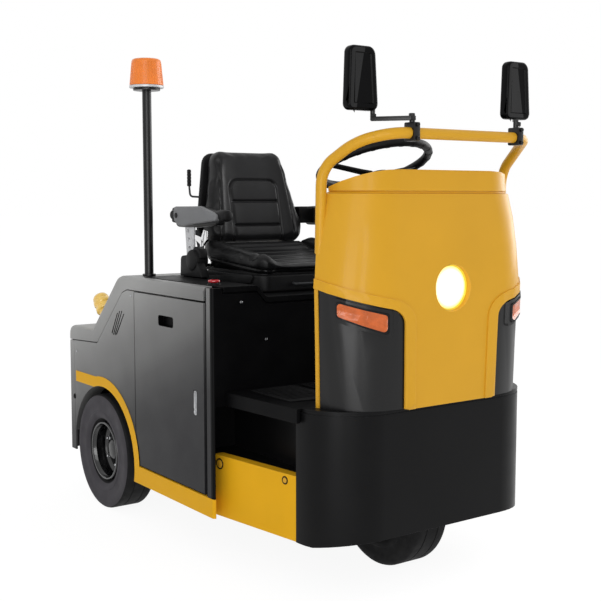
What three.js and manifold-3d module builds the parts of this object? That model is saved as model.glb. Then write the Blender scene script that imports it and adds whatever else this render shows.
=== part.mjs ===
// Three-wheel electric tow tractor with a standing-height cowl, a driver's seat on the battery lid and
// open steps on both sides. Millimetres, +Z up. The front faces -Y and the vehicle's right side is -X.
// Sizes are laid out from the point on the floor below the front wheel's steering axis, and the whole
// vehicle is then moved along Y, so that the origin is on the floor below the middle of its length.

import * as THREE from "three";
import { mergeVertices } from "three/addons/utils/BufferGeometryUtils.js";
import Module from "manifold-3d";

const wasm = await Module();
wasm.setup();

// ---------------------------------------------------------------- driving dimensions

const HALF_WIDTH = 495; // outside of the body's sides
const FIT = 0.4; // gap between pieces that touch
const SEAM = 3; // visible gap between body panels
const RUN = 6; // gap to a piece that moves

const FRONT_WHEEL = { y: 2, radius: 200, halfWidth: 60, rim: 105 };
const REAR_WHEEL = { y: 1065, radius: 210, inner: 372, outer: 491, rim: 108 };

const BUMPER = { half: 407, rear: -55, front: -242.5, corner: 175, wall: 10, foot: 151, toe: 174,
  rise: -120 };
const FLOOR = { top: 548, bottom: 505, plate: 8 };
const STEP = { top: 344, bottom: 151, frontX: 405, rearX: 455, frontY: -54, rearY: 320 };
const WELL_WALL = 330; // inner wall of each step well, from the middle
const WELL_BACK = 400;
const TRAY = 464; // half width of the battery tray

const BODY_FRONT = 257; // front face of the seat box
const DOOR = { front: 309, rear: 777, bottom: 223, top: 820 };
const SHELL = 8; // wall of the body's panels
const SILL = { bottom: 157, top: 217, wall: 8 };
const DECK_TOP = 870;
const REAR_DECK = 655;
const LID = { half: 455, rear: 776, well: 300, shoulder: 330, drop: 38, plate: 5, fold: 16 };
const ARCH = { y: 1038, z: 205, radius: 250, band: 36 };
const BODY_REAR = 1338;
const BODY_FOOT = 174;

const COWL_REAR = -100;
const COWL_WALL = 9;
// half: half width, front: reach ahead of the steering axis, corner: plan radius; only: used by the outer
// or by the inner face alone
const COWL_SECTIONS = [
  { z: 532, half: 370, front: 260, corner: 170 },
  { z: 700, half: 372, front: 263, corner: 170 },
  { z: 880, half: 376, front: 267, corner: 170 },
  { z: 1000, half: 370, front: 259, corner: 170 },
  { z: 1080, half: 360, front: 251, corner: 168 },
  { z: 1144, half: 326, front: 239, corner: 150, only: "inner" },
  { z: 1152, half: 347, front: 238, corner: 164, only: "outer" },
  { z: 1154, half: 340, front: 233, corner: 160, only: "outer" },
  { z: 1159, half: 325, front: 233, corner: 148, only: "outer" },
  { z: 1161, half: 328, front: 240, corner: 152, only: "outer" },
  { z: 1216, half: 325, front: 237, corner: 150 },
  { z: 1224, half: 320, front: 232, corner: 146 },
];
const COLLAR = { front: [-240, 1222], rear: [-95, 1170] }; // the collar's top falls to the rear, (y, z)
const LAMP = { z: 883, radius: 69, bezel: 77, depth: 24 };

const RAIL = { radius: 15.5, z: 1316, y: -295, half: 214 };
const WHEEL_RING = { y: 96, z: 1243.5, radius: 173, tube: 13.5, tilt: THREE.MathUtils.degToRad(21.5) };
const MAST = { x: -420, y: 806, radius: 15.5, top: 1505 };
const BEACON = { foot: 59, crown: 48, height: 100 };
const COUPLING = { reach: 88, height: 300 };

const LAMP_FACE = 267; // reach of the cowl at the headlight

const FRONT_END = RAIL.y - RAIL.radius;
const REAR_END = BODY_REAR + COUPLING.reach;

const SIDES = [
  { name: "left", sign: 1 },
  { name: "right", sign: -1 },
];

// ---------------------------------------------------------------- solids

// A closed geometry as a solid, its faces turned outwards.
function solid(geometry) {
  const bare = geometry.clone();
  bare.deleteAttribute("normal");
  bare.deleteAttribute("uv");
  const merged = mergeVertices(bare, 1e-3);
  const vertProperties = merged.attributes.position.array;
  const triVerts = new Uint32Array(merged.index.array);
  const made = new wasm.Manifold(new wasm.Mesh({ numProp: 3, vertProperties, triVerts }));
  if (made.volume() > 0) return made;
  return new wasm.Manifold(new wasm.Mesh({ numProp: 3, vertProperties, triVerts: triVerts.reverse() }));
}

function geometryOf(body) {
  const { vertProperties, triVerts } = body.getMesh();
  const geometry = new THREE.BufferGeometry();
  geometry.setAttribute("position", new THREE.BufferAttribute(new Float32Array(vertProperties), 3));
  geometry.setIndex(new THREE.BufferAttribute(new Uint32Array(triVerts), 1));
  return geometry;
}

const join = (first, ...others) => others.reduce((sum, next) => sum.add(next), first);
const cut = (first, ...tools) => tools.reduce((rest, tool) => rest.subtract(tool), first);
const common = (first, ...others) => others.reduce((rest, next) => rest.intersect(next), first);

function moved(body, matrix) {
  return solid(geometryOf(body).applyMatrix4(matrix));
}

// The same solid on the other side of the vehicle.
function mirrored(body) {
  return moved(body, new THREE.Matrix4().makeScale(-1, 1, 1));
}

const onSide = (body, side) => (side.sign > 0 ? body : mirrored(body));
const bothSides = (body) => join(body, mirrored(body));

function box([x0, x1], [y0, y1], [z0, z1]) {
  const block = new THREE.BoxGeometry(x1 - x0, y1 - y0, z1 - z0);
  return solid(block.translate((x0 + x1) / 2, (y0 + y1) / 2, (z0 + z1) / 2));
}

// Turns a shape's (u, v) plane and its depth onto the vehicle's axes.
const FRAMES = {
  x: [new THREE.Vector3(0, 1, 0), new THREE.Vector3(0, 0, 1), new THREE.Vector3(1, 0, 0)],
  y: [new THREE.Vector3(1, 0, 0), new THREE.Vector3(0, 0, 1), new THREE.Vector3(0, -1, 0)],
  z: [new THREE.Vector3(1, 0, 0), new THREE.Vector3(0, 1, 0), new THREE.Vector3(0, 0, 1)],
};

// A shape given as (y, z), (x, z) or (x, y), pushed along x, y or z from one place to another.
// bevel: radius that rounds the edges of both end faces.
function prism(axis, shape, [from, to], { arcs = 2, bevel = 0 } = {}) {
  const geometry = new THREE.ExtrudeGeometry(shape, {
    depth: to - from - 2 * bevel,
    curveSegments: arcs,
    bevelEnabled: bevel > 0,
    bevelSize: bevel,
    bevelOffset: -bevel,
    bevelThickness: bevel,
    bevelSegments: 2,
  });
  const frame = new THREE.Matrix4().makeBasis(...FRAMES[axis]);
  geometry.applyMatrix4(frame);
  const start = axis === "y" ? to - bevel : from + bevel;
  return solid(geometry.translate(...["x", "y", "z"].map((name) => (name === axis ? start : 0))));
}

// A closed outline from corners [u, v, radius of the corner].
function outline(corners) {
  const shape = new THREE.Shape();
  corners.forEach(([u, v, radius = 0], i) => {
    const corner = new THREE.Vector2(u, v);
    if (radius === 0) {
      if (i === 0) shape.moveTo(u, v);
      else shape.lineTo(u, v);
      return;
    }
    const [bu, bv] = corners.at(i - 1);
    const [au, av] = corners[(i + 1) % corners.length];
    const back = new THREE.Vector2(bu, bv).sub(corner).normalize();
    const ahead = new THREE.Vector2(au, av).sub(corner).normalize();
    const half = Math.acos(THREE.MathUtils.clamp(back.dot(ahead), -1, 1)) / 2;
    const reach = radius / Math.tan(half);
    const middle = back.clone().add(ahead).normalize().multiplyScalar(radius / Math.sin(half)).add(corner);
    const start = back.multiplyScalar(reach).add(corner);
    const end = ahead.multiplyScalar(reach).add(corner);
    if (i === 0) shape.moveTo(start.x, start.y);
    else shape.lineTo(start.x, start.y);
    const startAngle = Math.atan2(start.y - middle.y, start.x - middle.x);
    const endAngle = Math.atan2(end.y - middle.y, end.x - middle.x);
    const turn = (corner.x - bu) * (av - corner.y) - (corner.y - bv) * (au - corner.x);
    shape.absarc(middle.x, middle.y, radius, startAngle, endAngle, turn < 0);
  });
  shape.closePath();
  return shape;
}

const rectangle = ([u0, u1], [v0, v1], radius = 0) =>
  outline([
    [u0, v0, radius],
    [u1, v0, radius],
    [u1, v1, radius],
    [u0, v1, radius],
  ]);

function circle(u, v, radius) {
  const shape = new THREE.Shape();
  shape.absarc(u, v, radius, 0, 2 * Math.PI);
  return shape;
}

// A round bar along x, y or z; at: its centre on the other two axes, in their order.
function bar(axis, radius, range, at, sides = 20) {
  return prism(axis, circle(...at, radius), range, { arcs: sides / 2 });
}

// A profile of [radius, along] turned about the x or z axis, its axis through the given centre.
function turned(axis, profile, centre, sides = 40) {
  const lathe = new THREE.LatheGeometry(
    profile.map(([radius, along]) => new THREE.Vector2(radius, along)),
    sides,
  );
  if (axis === "x") lathe.rotateZ(-Math.PI / 2);
  else lathe.rotateX(Math.PI / 2);
  return solid(lathe.translate(...centre));
}

// A tube through the given points, its bends rounded.
function tube(points, radius, { bend = 60, steps = 40, sides = 10 } = {}) {
  const path = new THREE.CurvePath();
  const places = points.map((point) => new THREE.Vector3(...point));
  let from = places[0];
  for (let i = 1; i < places.length - 1; i++) {
    const start = places[i - 1].clone().sub(places[i]).setLength(bend).add(places[i]);
    const end = places[i + 1].clone().sub(places[i]).setLength(bend).add(places[i]);
    path.add(new THREE.LineCurve3(from, start));
    path.add(new THREE.QuadraticBezierCurve3(start, places[i], end));
    from = end;
  }
  path.add(new THREE.LineCurve3(from, places.at(-1)));
  const section = circle(0, 0, radius);
  return solid(new THREE.ExtrudeGeometry(section, { steps, curveSegments: sides / 2, extrudePath: path }));
}

// A solid through level rings of equally many points; rings: [{ z, points: [[x, y], ...] }], upwards.
function loft(rings) {
  const count = rings[0].points.length;
  const positions = rings.flatMap(({ z, points }) => points.flatMap(([x, y]) => [x, y, z]));
  const index = [];
  for (let k = 0; k + 1 < rings.length; k++) {
    for (let i = 0; i < count; i++) {
      const a = k * count + i;
      const b = k * count + ((i + 1) % count);
      index.push(a, b, b + count, a, b + count, a + count);
    }
  }
  for (const [ring, turn] of [[0, -1], [rings.length - 1, 1]]) {
    const flat = rings[ring].points.map(([x, y]) => new THREE.Vector2(x, y));
    for (const face of THREE.ShapeUtils.triangulateShape(flat, [])) {
      const corners = face.map((i) => ring * count + i);
      index.push(...(turn > 0 ? corners : corners.reverse()));
    }
  }
  const geometry = new THREE.BufferGeometry();
  geometry.setAttribute("position", new THREE.Float32BufferAttribute(positions, 3));
  geometry.setIndex(index);
  return solid(geometry);
}

// ---------------------------------------------------------------- materials and scene

const FINISH = {
  yellow: { color: 0xd9a42c, roughness: 0.35, metalness: 0 },
  grey: { color: 0x5d5e60, roughness: 0.45, metalness: 0 },
  black: { color: 0x26272a, roughness: 0.6, metalness: 0 },
  steel: { color: 0x3a3c3f, roughness: 0.55, metalness: 0.6 },
  chrome: { color: 0xd8d8da, roughness: 0.15, metalness: 1 },
  rubber: { color: 0x1f1f20, roughness: 0.85, metalness: 0 },
  vinyl: { color: 0x232325, roughness: 0.55, metalness: 0 },
  plastic: { color: 0x2b2c2e, roughness: 0.5, metalness: 0 },
  amber: { color: 0xe8782a, roughness: 0.25, metalness: 0 },
  lens: { color: 0xf2f2ee, roughness: 0.1, metalness: 0 },
  red: { color: 0xc01c22, roughness: 0.35, metalness: 0 },
};

const vehicle = new THREE.Group();
vehicle.position.y = -(FRONT_END + REAR_END) / 2;

function add(name, finish, body) {
  const mesh = new THREE.Mesh(geometryOf(body), new THREE.MeshStandardMaterial(FINISH[finish]));
  mesh.name = name;
  vehicle.add(mesh);
}

function addPair(name, finish, body) {
  for (const side of SIDES) add(`${name}_${side.name}`, finish, onSide(body, side));
}

// ---------------------------------------------------------------- wheels, axle and fork

const WHEEL_SIDES = 32; // the same for tyre and rim, so that they nest

// A tyre's section, from the bead outwards; half: half width, about its own middle.
function tyre(centre, { radius, rim, half }) {
  const beads = [
    [rim + 0.3, half - 26],
    [rim + 14, half - 12],
    [rim + 22, half],
    [radius - 7, half],
    [radius, half - 6],
  ];
  const other = beads.map(([r, along]) => [r, -along]).reverse();
  return turned("x", [...beads, ...other, beads[0]], centre, WHEEL_SIDES);
}

// A dished rim with its hub; out: 1 where its outer face looks along +x.
function rim(centre, { radius, half, dish, hub, bore = 0 }, out = 1) {
  const face = [
    [hub, dish + 22],
    [hub + 6, dish + 8],
    [radius - 20, dish],
    [radius - 6, half - 9],
    [radius, half - 9],
    [radius, 9 - half],
    [radius - 6, 9 - half],
    [radius - 22, dish - 8],
    [hub, dish - 10],
  ];
  const inner = bore > 0 ? [[bore, dish - 10], [bore, dish + 22]] : [[0, dish - 10], [0, dish + 22]];
  const profile = [...face, ...inner, face[0]].map(([r, along]) => [r, along * out]);
  return turned("x", profile, centre, WHEEL_SIDES);
}

function rearWheels() {
  const { y, radius, inner, outer, rim: bead } = REAR_WHEEL;
  const middle = (inner + outer) / 2;
  const half = (outer - inner) / 2;
  const centre = [middle, y, radius];
  addPair("rear_tyre", "rubber", tyre(centre, { radius, rim: bead, half }));
  addPair("rear_rim", "steel", rim(centre, { radius: bead, half, dish: 12, hub: 38 }));
}

// Axle beam with brake drums, gearbox and the drive motor lying ahead of it.
function rearAxle() {
  const { y, radius } = REAR_WHEEL;
  const beam = turned("x", [
    [0, -412], [26, -412], [26, -382], [78, -382], [78, -345], [38, -335], [38, -130], [88, -70],
    [98, 0], [88, 70], [38, 130], [38, 335], [78, 345], [78, 382], [26, 382], [26, 412], [0, 412],
  ], [0, y, radius], 16);
  const motor = bar("y", 78, [820, y], [0, radius + 25], 20);
  const pads = bothSides(box([288, 322], [y - 45, y + 45], [radius, 261.6]));
  return join(beam, motor, pads);
}

// Yoke on a kingpin, with the wheel's axle through its legs.
function frontFork() {
  const { y, radius, halfWidth } = FRONT_WHEEL;
  const gap = halfWidth + 11;
  const leg = prism("x", outline([[-70, 440], [70, 440], [46, 300, 30], [y + 34, 165, 30], [y - 34, 165, 30],
    [-46, 300, 30]]), [gap, gap + 12]);
  const crown = box([-gap - 12, gap + 12], [-80, 80], [420, 440]);
  const bearing = bar("z", 75, [439, 450], [0, 0], 28);
  const kingpin = bar("z", 25, [440, 498], [0, 0], 20);
  const axle = bar("x", 12, [-gap - 22, gap + 22], [y, radius], 16);
  return join(crown, bothSides(leg), bearing, kingpin, axle);
}

function frontWheel() {
  const { y, radius, halfWidth, rim: bead } = FRONT_WHEEL;
  const centre = [0, y, radius];
  add("front_tyre", "rubber", tyre(centre, { radius, rim: bead, half: halfWidth }));
  add("front_rim", "steel", rim(centre, { radius: bead, half: halfWidth, dish: 0, hub: 34, bore: 13 }));
}

// ---------------------------------------------------------------- chassis and floor

// The space inside the bumper and everything behind it.
function insideBumper() {
  const { half, rear, wall } = BUMPER;
  const plan = prism("z", bumperPlan(wall + FIT), [100, 700], { arcs: 5 });
  return join(plan, box([-half, half], [rear - 1, 1400], [100, 700]));
}

function chassisFrame() {
  const wellWall = box([WELL_WALL - 10, WELL_WALL], [-215, WELL_BACK + 6], [165, FLOOR.bottom - FIT]);
  const tread = prism("z", outline([
    [WELL_WALL - 1, STEP.frontY + 4], [STEP.frontX - 4, STEP.frontY + 4], [STEP.rearX - 4, STEP.rearY],
    [STEP.rearX - 4, WELL_BACK + 1], [WELL_WALL - 1, WELL_BACK + 1],
  ]), [STEP.top - 12, STEP.top - 4]);
  const bearingPlate = cut(
    box([-WELL_WALL + 1, WELL_WALL - 1], [-215, WELL_BACK + 1], [455, 467]),
    bar("z", 31, [440, 480], [0, 0]),
  );
  const nose = box([-WELL_WALL + 1, WELL_WALL - 1], [-226, -206], [440, FLOOR.bottom - FIT]);
  const wellBack = box([-TRAY, TRAY], [WELL_BACK, WELL_BACK + 6], [BODY_FOOT, FLOOR.bottom - FIT]);
  const tray = box([-TRAY, TRAY], [WELL_BACK, 779], [172, 180]);
  const trayLip = box([TRAY - 8, TRAY], [WELL_BACK, 779], [172, 215]);
  const bulkhead = box([-TRAY, TRAY], [771, 779], [172, 640]);
  const rail = cut(box([285, 325], [778, 1310], [262, 330]), box([293, 326], [795, 1300], [270, 322]));
  const tail = box([-440, 440], [1304, 1320], [215, 440]);
  const front = common(join(bothSides(wellWall), bearingPlate, nose), insideBumper());
  return join(front, bothSides(tread), wellBack, tray, bothSides(trayLip), bulkhead, bothSides(rail), tail);
}

// Half of the bumper's outer plan, moved in by the given amount, closed along the middle.
function bumperPlan(inset) {
  const { half, rear, front, corner } = BUMPER;
  const w = half - inset;
  return outline([[-w, rear], [-w, front + inset, corner - inset], [w, front + inset, corner - inset],
    [w, rear]]);
}

function frontBumper() {
  const { rear, front, wall, foot, toe } = BUMPER;
  const wallRing = (inset, [low, high]) =>
    cut(prism("z", bumperPlan(inset), [low, high], { arcs: 5 }),
      prism("z", bumperPlan(wall), [low - 1, high + 1], { arcs: 5 }));
  const reach = rear + 1;
  const hollow = box([-BUMPER.half + wall, BUMPER.half - wall], [rear - 20, reach],
    [foot - 2, FLOOR.top - 9]);
  const side = cut(wallRing(0, [foot, FLOOR.top - 14]), hollow);
  const groove = cut(wallRing(2.5, [FLOOR.top - 15, FLOOR.top - 8]), hollow);
  const ledge = cut(
    prism("z", bumperPlan(0), [FLOOR.top - 9, FLOOR.top], { arcs: 5 }),
    prism("z", floorOutline(1), [FLOOR.top - 20, FLOOR.top + 1]),
  );
  const slopes = outline([[rear + 5, foot - 9], [front - 5, foot - 9], [front - 5, toe + 1],
    [BUMPER.rise, foot - 0.5],
    [rear + 5, foot - 0.5]]);
  const rise = prism("x", slopes, [-BUMPER.half - 5, BUMPER.half + 5]);
  return cut(join(side, groove, ledge), rise);
}

// Folded side panel below the step, turned in towards the front.
function stepPanel() {
  const { frontX, rearX, frontY, rearY, top, bottom } = STEP;
  const plan = outline([[frontX, frontY], [rearX, rearY], [rearX - 3.6, rearY], [frontX - 3.6, frontY]]);
  const lip = outline([[frontX, frontY], [rearX, rearY], [rearX - 34, rearY], [frontX - 34, frontY]]);
  return join(prism("z", plan, [bottom, top]), prism("z", lip, [top - 3.6, top]));
}

// Plan of the floor plate, grown all round by the given amount.
function floorOutline(grow) {
  const half = [[425 + grow, -83 - grow], [345 + grow, -83 - grow], [344 + grow, -183],
    [318 + grow, -205 - grow],
    [306, -211 - grow]];
  const left = [[453 + grow, BODY_FRONT - FIT - 1], ...half];
  const right = left.map(([x, y]) => [-x, y]).reverse();
  return outline([...left, ...right]);
}

// Floor of the driver's place, its side edges folded down.
function floorPlate() {
  const { top, bottom, plate } = FLOOR;
  const sheet = prism("z", floorOutline(0), [bottom, top]);
  const under = common(
    prism("z", floorOutline(-14), [bottom - 1, top - plate]),
    box([-500, 500], [-300, BODY_FRONT - 16], [0, 1000]),
  );
  return cut(sheet, join(under, box([-411, 411], [-230, -60], [bottom - 1, top - plate])));
}

// ---------------------------------------------------------------- cowl

const CORNER_STEPS = 5;

// Plan of the cowl at one height, moved out by the given amount, from its right rear edge round the front.
function cowlRing({ half, front, corner }, outwards, rear) {
  const radius = corner + outwards;
  const x = half - corner;
  const y = corner - front;
  const start = Math.asin(THREE.MathUtils.clamp((y - rear) / radius, 0, 1));
  const quarter = y > rear ? [] : [[x + radius, rear]];
  for (let step = 0; step <= CORNER_STEPS; step++) {
    const angle = THREE.MathUtils.lerp(start, Math.PI / 2, step / CORNER_STEPS);
    quarter.push([x + radius * Math.cos(angle), y - radius * Math.sin(angle)]);
  }
  return [...quarter.map(([u, v]) => [-u, v]), ...quarter.reverse()];
}

function cowlFace(face, outwards, rear) {
  const sections = COWL_SECTIONS.filter(({ only }) => only === undefined || only === face);
  return sections.map((section) => ({ z: section.z, points: cowlRing(section, outwards, rear) }));
}

const cowlSolid = (outwards) => loft(cowlFace("outer", outwards, COWL_REAR));

// The space inside the cowl, whose surface is moved by the given amount.
function cowlCore(outwards) {
  const rings = cowlFace("inner", outwards, 50);
  rings[0].z -= 5;
  rings.at(-1).z += 5;
  return loft(rings);
}

// A wall between two offsets of the cowl's surface.
const cowlSkin = (outer, inner) => cut(cowlSolid(outer), cowlCore(inner));

// A shape given as (along, z) on the plane across the cowl's left corner, pushed through that corner.
function throughCorner(shape) {
  const diagonal = Math.SQRT1_2;
  const along = new THREE.Vector3(-diagonal, -diagonal, 0);
  const across = new THREE.Vector3(-diagonal, diagonal, 0);
  const frame = new THREE.Matrix4().makeBasis(along, new THREE.Vector3(0, 0, 1), across);
  const block = new THREE.ExtrudeGeometry(shape, { depth: 400, curveSegments: 5, bevelEnabled: false });
  return solid(block.applyMatrix4(frame).translate(400 * diagonal, -400 * diagonal, 0));
}

// along = (front reach - half width) / sqrt 2: from the cowl's rear edge to the front panel's edge
const CORNER_REAR = -184;
const CORNER_EDGE = 58;

function cornerStencil(grow) {
  return throughCorner(outline([
    [CORNER_REAR - grow, 500],
    [CORNER_EDGE + grow, 500],
    [CORNER_EDGE + grow, 826 + grow, 46],
    [CORNER_REAR - grow, 885 + grow],
  ]));
}

function signalStencil(grow) {
  return throughCorner(outline([
    [-129 - grow, 812 - grow, 8], [18 + grow, 762 - grow, 8], [18 + grow, 822 + grow, 8],
    [-129 - grow, 858 + grow, 8],
  ]));
}

function frontCowl() {
  const stand = FLOOR.top + FIT;
  const apron = prism("y", outline([
    [-700, 500], [700, 500], [700, stand], [162, stand], [162, 545], [-162, 545], [-162, stand],
      [-700, stand],
  ]), [-400, 100]);
  const lampHole = bar("y", LAMP.radius, [-400, -200], [0, LAMP.z], 32);
  const window = common(cornerStencil(0), box([0, 600], [-600, COWL_REAR - 11], [400, 1000]));
  const well = turned("z", [[0, -30], [LAMP.radius, -30], [LAMP.radius, 0], [LAMP.radius - 5, LAMP.depth + 1],
    [0, LAMP.depth + 1]], [0, 0, 0], 32);
  const facing = new THREE.Matrix4().makeRotationX(-Math.PI / 2).setPosition(0, -LAMP_FACE, LAMP.z);
  const collar = bar("y", LAMP.bezel, [-LAMP_FACE - 10, -LAMP_FACE + LAMP.depth], [0, LAMP.z], 32);
  const reveal = cut(common(collar, cowlSolid(0)), moved(well, facing));
  const over = prism("x", outline([COLLAR.front, COLLAR.rear, [COLLAR.rear[0], 1300],
    [COLLAR.front[0] - 60, 1300],
    [COLLAR.front[0] - 60, COLLAR.front[1]]]), [-500, 500]);
  const skin = cut(cowlSkin(0, -COWL_WALL), apron, bothSides(window), lampHole, railTube(RAIL.radius + FIT),
    over);
  return join(skin, reveal);
}

function cowlCorner() {
  const panel = common(cowlSkin(-3, -COWL_WALL - 1), cornerStencil(-SEAM / 2),
    box([0, 600], [-600, COWL_REAR - 12.5], [FLOOR.top + FIT, 1000]));
  const bezel = common(cowlSkin(5, -4), cut(signalStencil(9), signalStencil(0.5)),
    box([0, 600], [-600, 0], [0, 1e3]));
  return join(panel, bezel);
}

const turnSignal = () => common(cowlSkin(8, -2.3), signalStencil(0), box([0, 600], [-600, 0], [0, 1e3]));

function headlight() {
  const glass = LAMP.radius - 5.8;
  const profile = [[0, -9], [40, -6], [glass - 3, -1], [glass, 2], [glass, 9], [48, 30], [22, 44], [0, 44]];
  const lamp = turned("z", profile, [0, 0, 0], 32);
  const facing = new THREE.Matrix4().makeRotationX(-Math.PI / 2).setPosition(0, -LAMP_FACE + 17, LAMP.z);
  return moved(lamp, facing);
}

// Panel that closes the cowl towards the driver, and the instrument top above it.
function dashboard() {
  const back = common(cowlCore(-COWL_WALL - 2.5), box([-400, 400], [-118, -112], [FLOOR.top + FIT, 1130]));
  const top = common(
    cowlCore(-COWL_WALL - 5),
    prism("x", outline([[-250, 1124], [-112, 1124], [-112, 1152], [-150, 1166], [-250, 1196]]), [-336, 336]),
  );
  const hood = prism("x", outline([[-205, 1130], [-60, 1130], [-46, 1163, 10], [-104, 1184, 14],
    [-180, 1190, 12]]),
    [-150, 150], { bevel: 7 });
  return cut(join(back, top, hood), columnTunnel(), railTube(RAIL.radius + FIT));
}

// ---------------------------------------------------------------- steering and rail

// From the middle of the steering wheel, its ring level, to the wheel's place on the vehicle.
function ringFrame() {
  const { y, z, tilt } = WHEEL_RING;
  return new THREE.Matrix4().makeRotationX(-tilt).setPosition(0, y, z);
}

const columnTunnel = () => moved(bar("z", 30, [-420, 0], [0, 0], 20), ringFrame());

function steeringColumn() {
  const sleeve = moved(bar("z", 24, [-330, -48], [0, 0], 16), ringFrame());
  const foot = moved(bar("z", 29, [-330, -290], [0, 0], 16), ringFrame());
  return join(sleeve, foot);
}

function steeringWheel() {
  const { radius, tube: grip } = WHEEL_RING;
  const ring = solid(new THREE.TorusGeometry(radius, grip, 8, 28));
  const spokes = [0, 90, 180].map((degrees) => {
    const spoke = prism("z", rectangle([20, radius - 4], [-14, 14]), [-11, 1]);
    return moved(spoke, new THREE.Matrix4().makeRotationZ(THREE.MathUtils.degToRad(degrees)));
  });
  const dish = turned("z", [[0, -42], [24, -42], [40, -32], [46, -20], [40, -9], [0, -6]], [0, 0, 0], 20);
  return moved(join(ring, dish, ...spokes), ringFrame());
}

function railTube(radius) {
  const leg = [
    [356, -101, 985], [356, -106, 1222], [318, -212, 1294], [RAIL.half + 40, RAIL.y, RAIL.z],
  ];
  const right = leg.map(([x, y, z]) => [-x, y, z]);
  return tube([...leg, ...right.reverse()], radius, { bend: 46, steps: 44, sides: 8 });
}

// Places along x of each mirror's clamp on the rail, of its stem and of its head.
const MIRRORS = [
  { name: "left", clamp: 214, stem: 305, head: 303 },
  { name: "right", clamp: -190, stem: -258, head: -300 },
];

// Rear-view mirror on an arm that is clamped to the rail.
function mirror({ clamp, stem, head }) {
  const grip = cut(
    box([clamp - 11, clamp + 11], [RAIL.y - 21, RAIL.y + 21], [RAIL.z - 22, RAIL.z + 29]),
    railTube(RAIL.radius + FIT),
  );
  const stud = bar("z", 8, [RAIL.z + 25, 1366], [clamp, RAIL.y], 12);
  const arm = prism("z", outline([
    [clamp - 12, RAIL.y - 9], [clamp + 12, RAIL.y - 9], [stem + 8, -214], [stem, -201], [stem - 8, -214],
  ]), [1350, 1362]);
  const post = bar("z", 7, [1352, 1400], [stem, -209], 12);
  const cover = prism("y", outline([[-52, -86, 18], [56, -86, 20], [44, 87, 24], [-46, 87, 20]]), [-16, 16],
    { bevel: 7 });
  return join(grip, stud, arm, post, moved(cover, new THREE.Matrix4().setPosition(head, -205, 1463)));
}

// ---------------------------------------------------------------- rear body

// Side view of the body as (y, z).
function bodyOutline(inset, foot) {
  const i = inset;
  return outline([
    [BODY_FRONT + i, foot], [BODY_FRONT + i, DECK_TOP - i], [902 - 0.4 * i, DECK_TOP - i, 70],
    [1128 - 0.4 * i, REAR_DECK - i, 30], [BODY_REAR - 4 - i, REAR_DECK - i, 34], [BODY_REAR - i, foot],
  ]);
}

function bodyShell() {
  const outer = prism("x", bodyOutline(0, BODY_FOOT - 40), [-HALF_WIDTH, HALF_WIDTH], { bevel: 14 });
  const inner = prism("x", bodyOutline(SHELL, BODY_FOOT - 60), [-HALF_WIDTH + SHELL, HALF_WIDTH - SHELL],
    { bevel: 9 });
  return cut(outer, inner, box([-600, 600], [0, 1400], [0, BODY_FOOT]));
}

// Region above the seam between the cover and the side panels, as (y, z), the seam moved up.
const coverRegion = (up) =>
  outline([
    [DOOR.front + SEAM, 824 + up], [830, 824 + up, 30], [868, 812 + up, 30], [1079, 612 + up, 18],
      [1400, 594 + up],
    [1400, 1000], [DOOR.front + SEAM, 1000],
  ]);

const across = (region) => prism("x", region, [-600, 600], { arcs: 6 });
const leftHalf = () => box([200, 600], [0, 1500], [0, 1100]);

// Deck margins round the seat lid, the slope behind the seat and the rear deck.
function rearCover(shell) {
  const lidOpening = box([-LID.half - RUN, LID.half + RUN], [0, LID.rear + RUN], [700, 1000]);
  return cut(common(shell, across(coverRegion(SEAM / 2))), lidOpening);
}

const archDisc = (radius) => prism("x", circle(ARCH.y, ARCH.z, radius), [-600, 600], { arcs: 24 });

// Slanted air slots, each from its upper to its lower end, as (y, z).
const LOUVRES = [
  { top: [852, 739], bottom: [914, 658] },
  { top: [867, 748], bottom: [926, 655] },
  { top: [884, 746], bottom: [938, 655] },
  { top: [902, 738], bottom: [950, 659] },
];

function louvreSlots() {
  return LOUVRES.map(({ top: [y0, z0], bottom: [y1, z1] }) =>
    prism("x", outline([[y0, z0], [y1, z1], [y1 + 5, z1 + 3], [y0 + 6, z0 - 1]]), [300, 600]));
}

// Panel round the rear wheel, with a returned lip along its arch.
function sidePanel(shell) {
  const region = outline([[DOOR.rear + SEAM, 150], [1283, 150], [1283, 900], [DOOR.rear + SEAM, 900]]);
  const sheet = cut(common(shell, across(region), leftHalf()), across(coverRegion(-SEAM / 2)),
    archDisc(ARCH.radius));
  const lip = cut(archDisc(ARCH.radius + 5), archDisc(ARCH.radius));
  const lipRange = box([430, HALF_WIDTH - 2], [DOOR.rear + SEAM, 1283], [BODY_FOOT, 470]);
  const window = common(lip, lipRange);
  return cut(join(sheet, window), ...louvreSlots());
}

function rearPanel(shell) {
  const region = outline([[1283 + SEAM, 150], [1400, 150], [1400, 900], [1283 + SEAM, 900]]);
  const bolts = box([-62, 62], [1300, 1400], [COUPLING.height - 62, COUPLING.height + 62]);
  return cut(common(shell, across(region)), across(coverRegion(-SEAM / 2)), bolts);
}

const HANDLE = { y: [502, 604], z: [723, 758] };
const LATCH = { y: [356, 374], z: [461, 543] };

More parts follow.
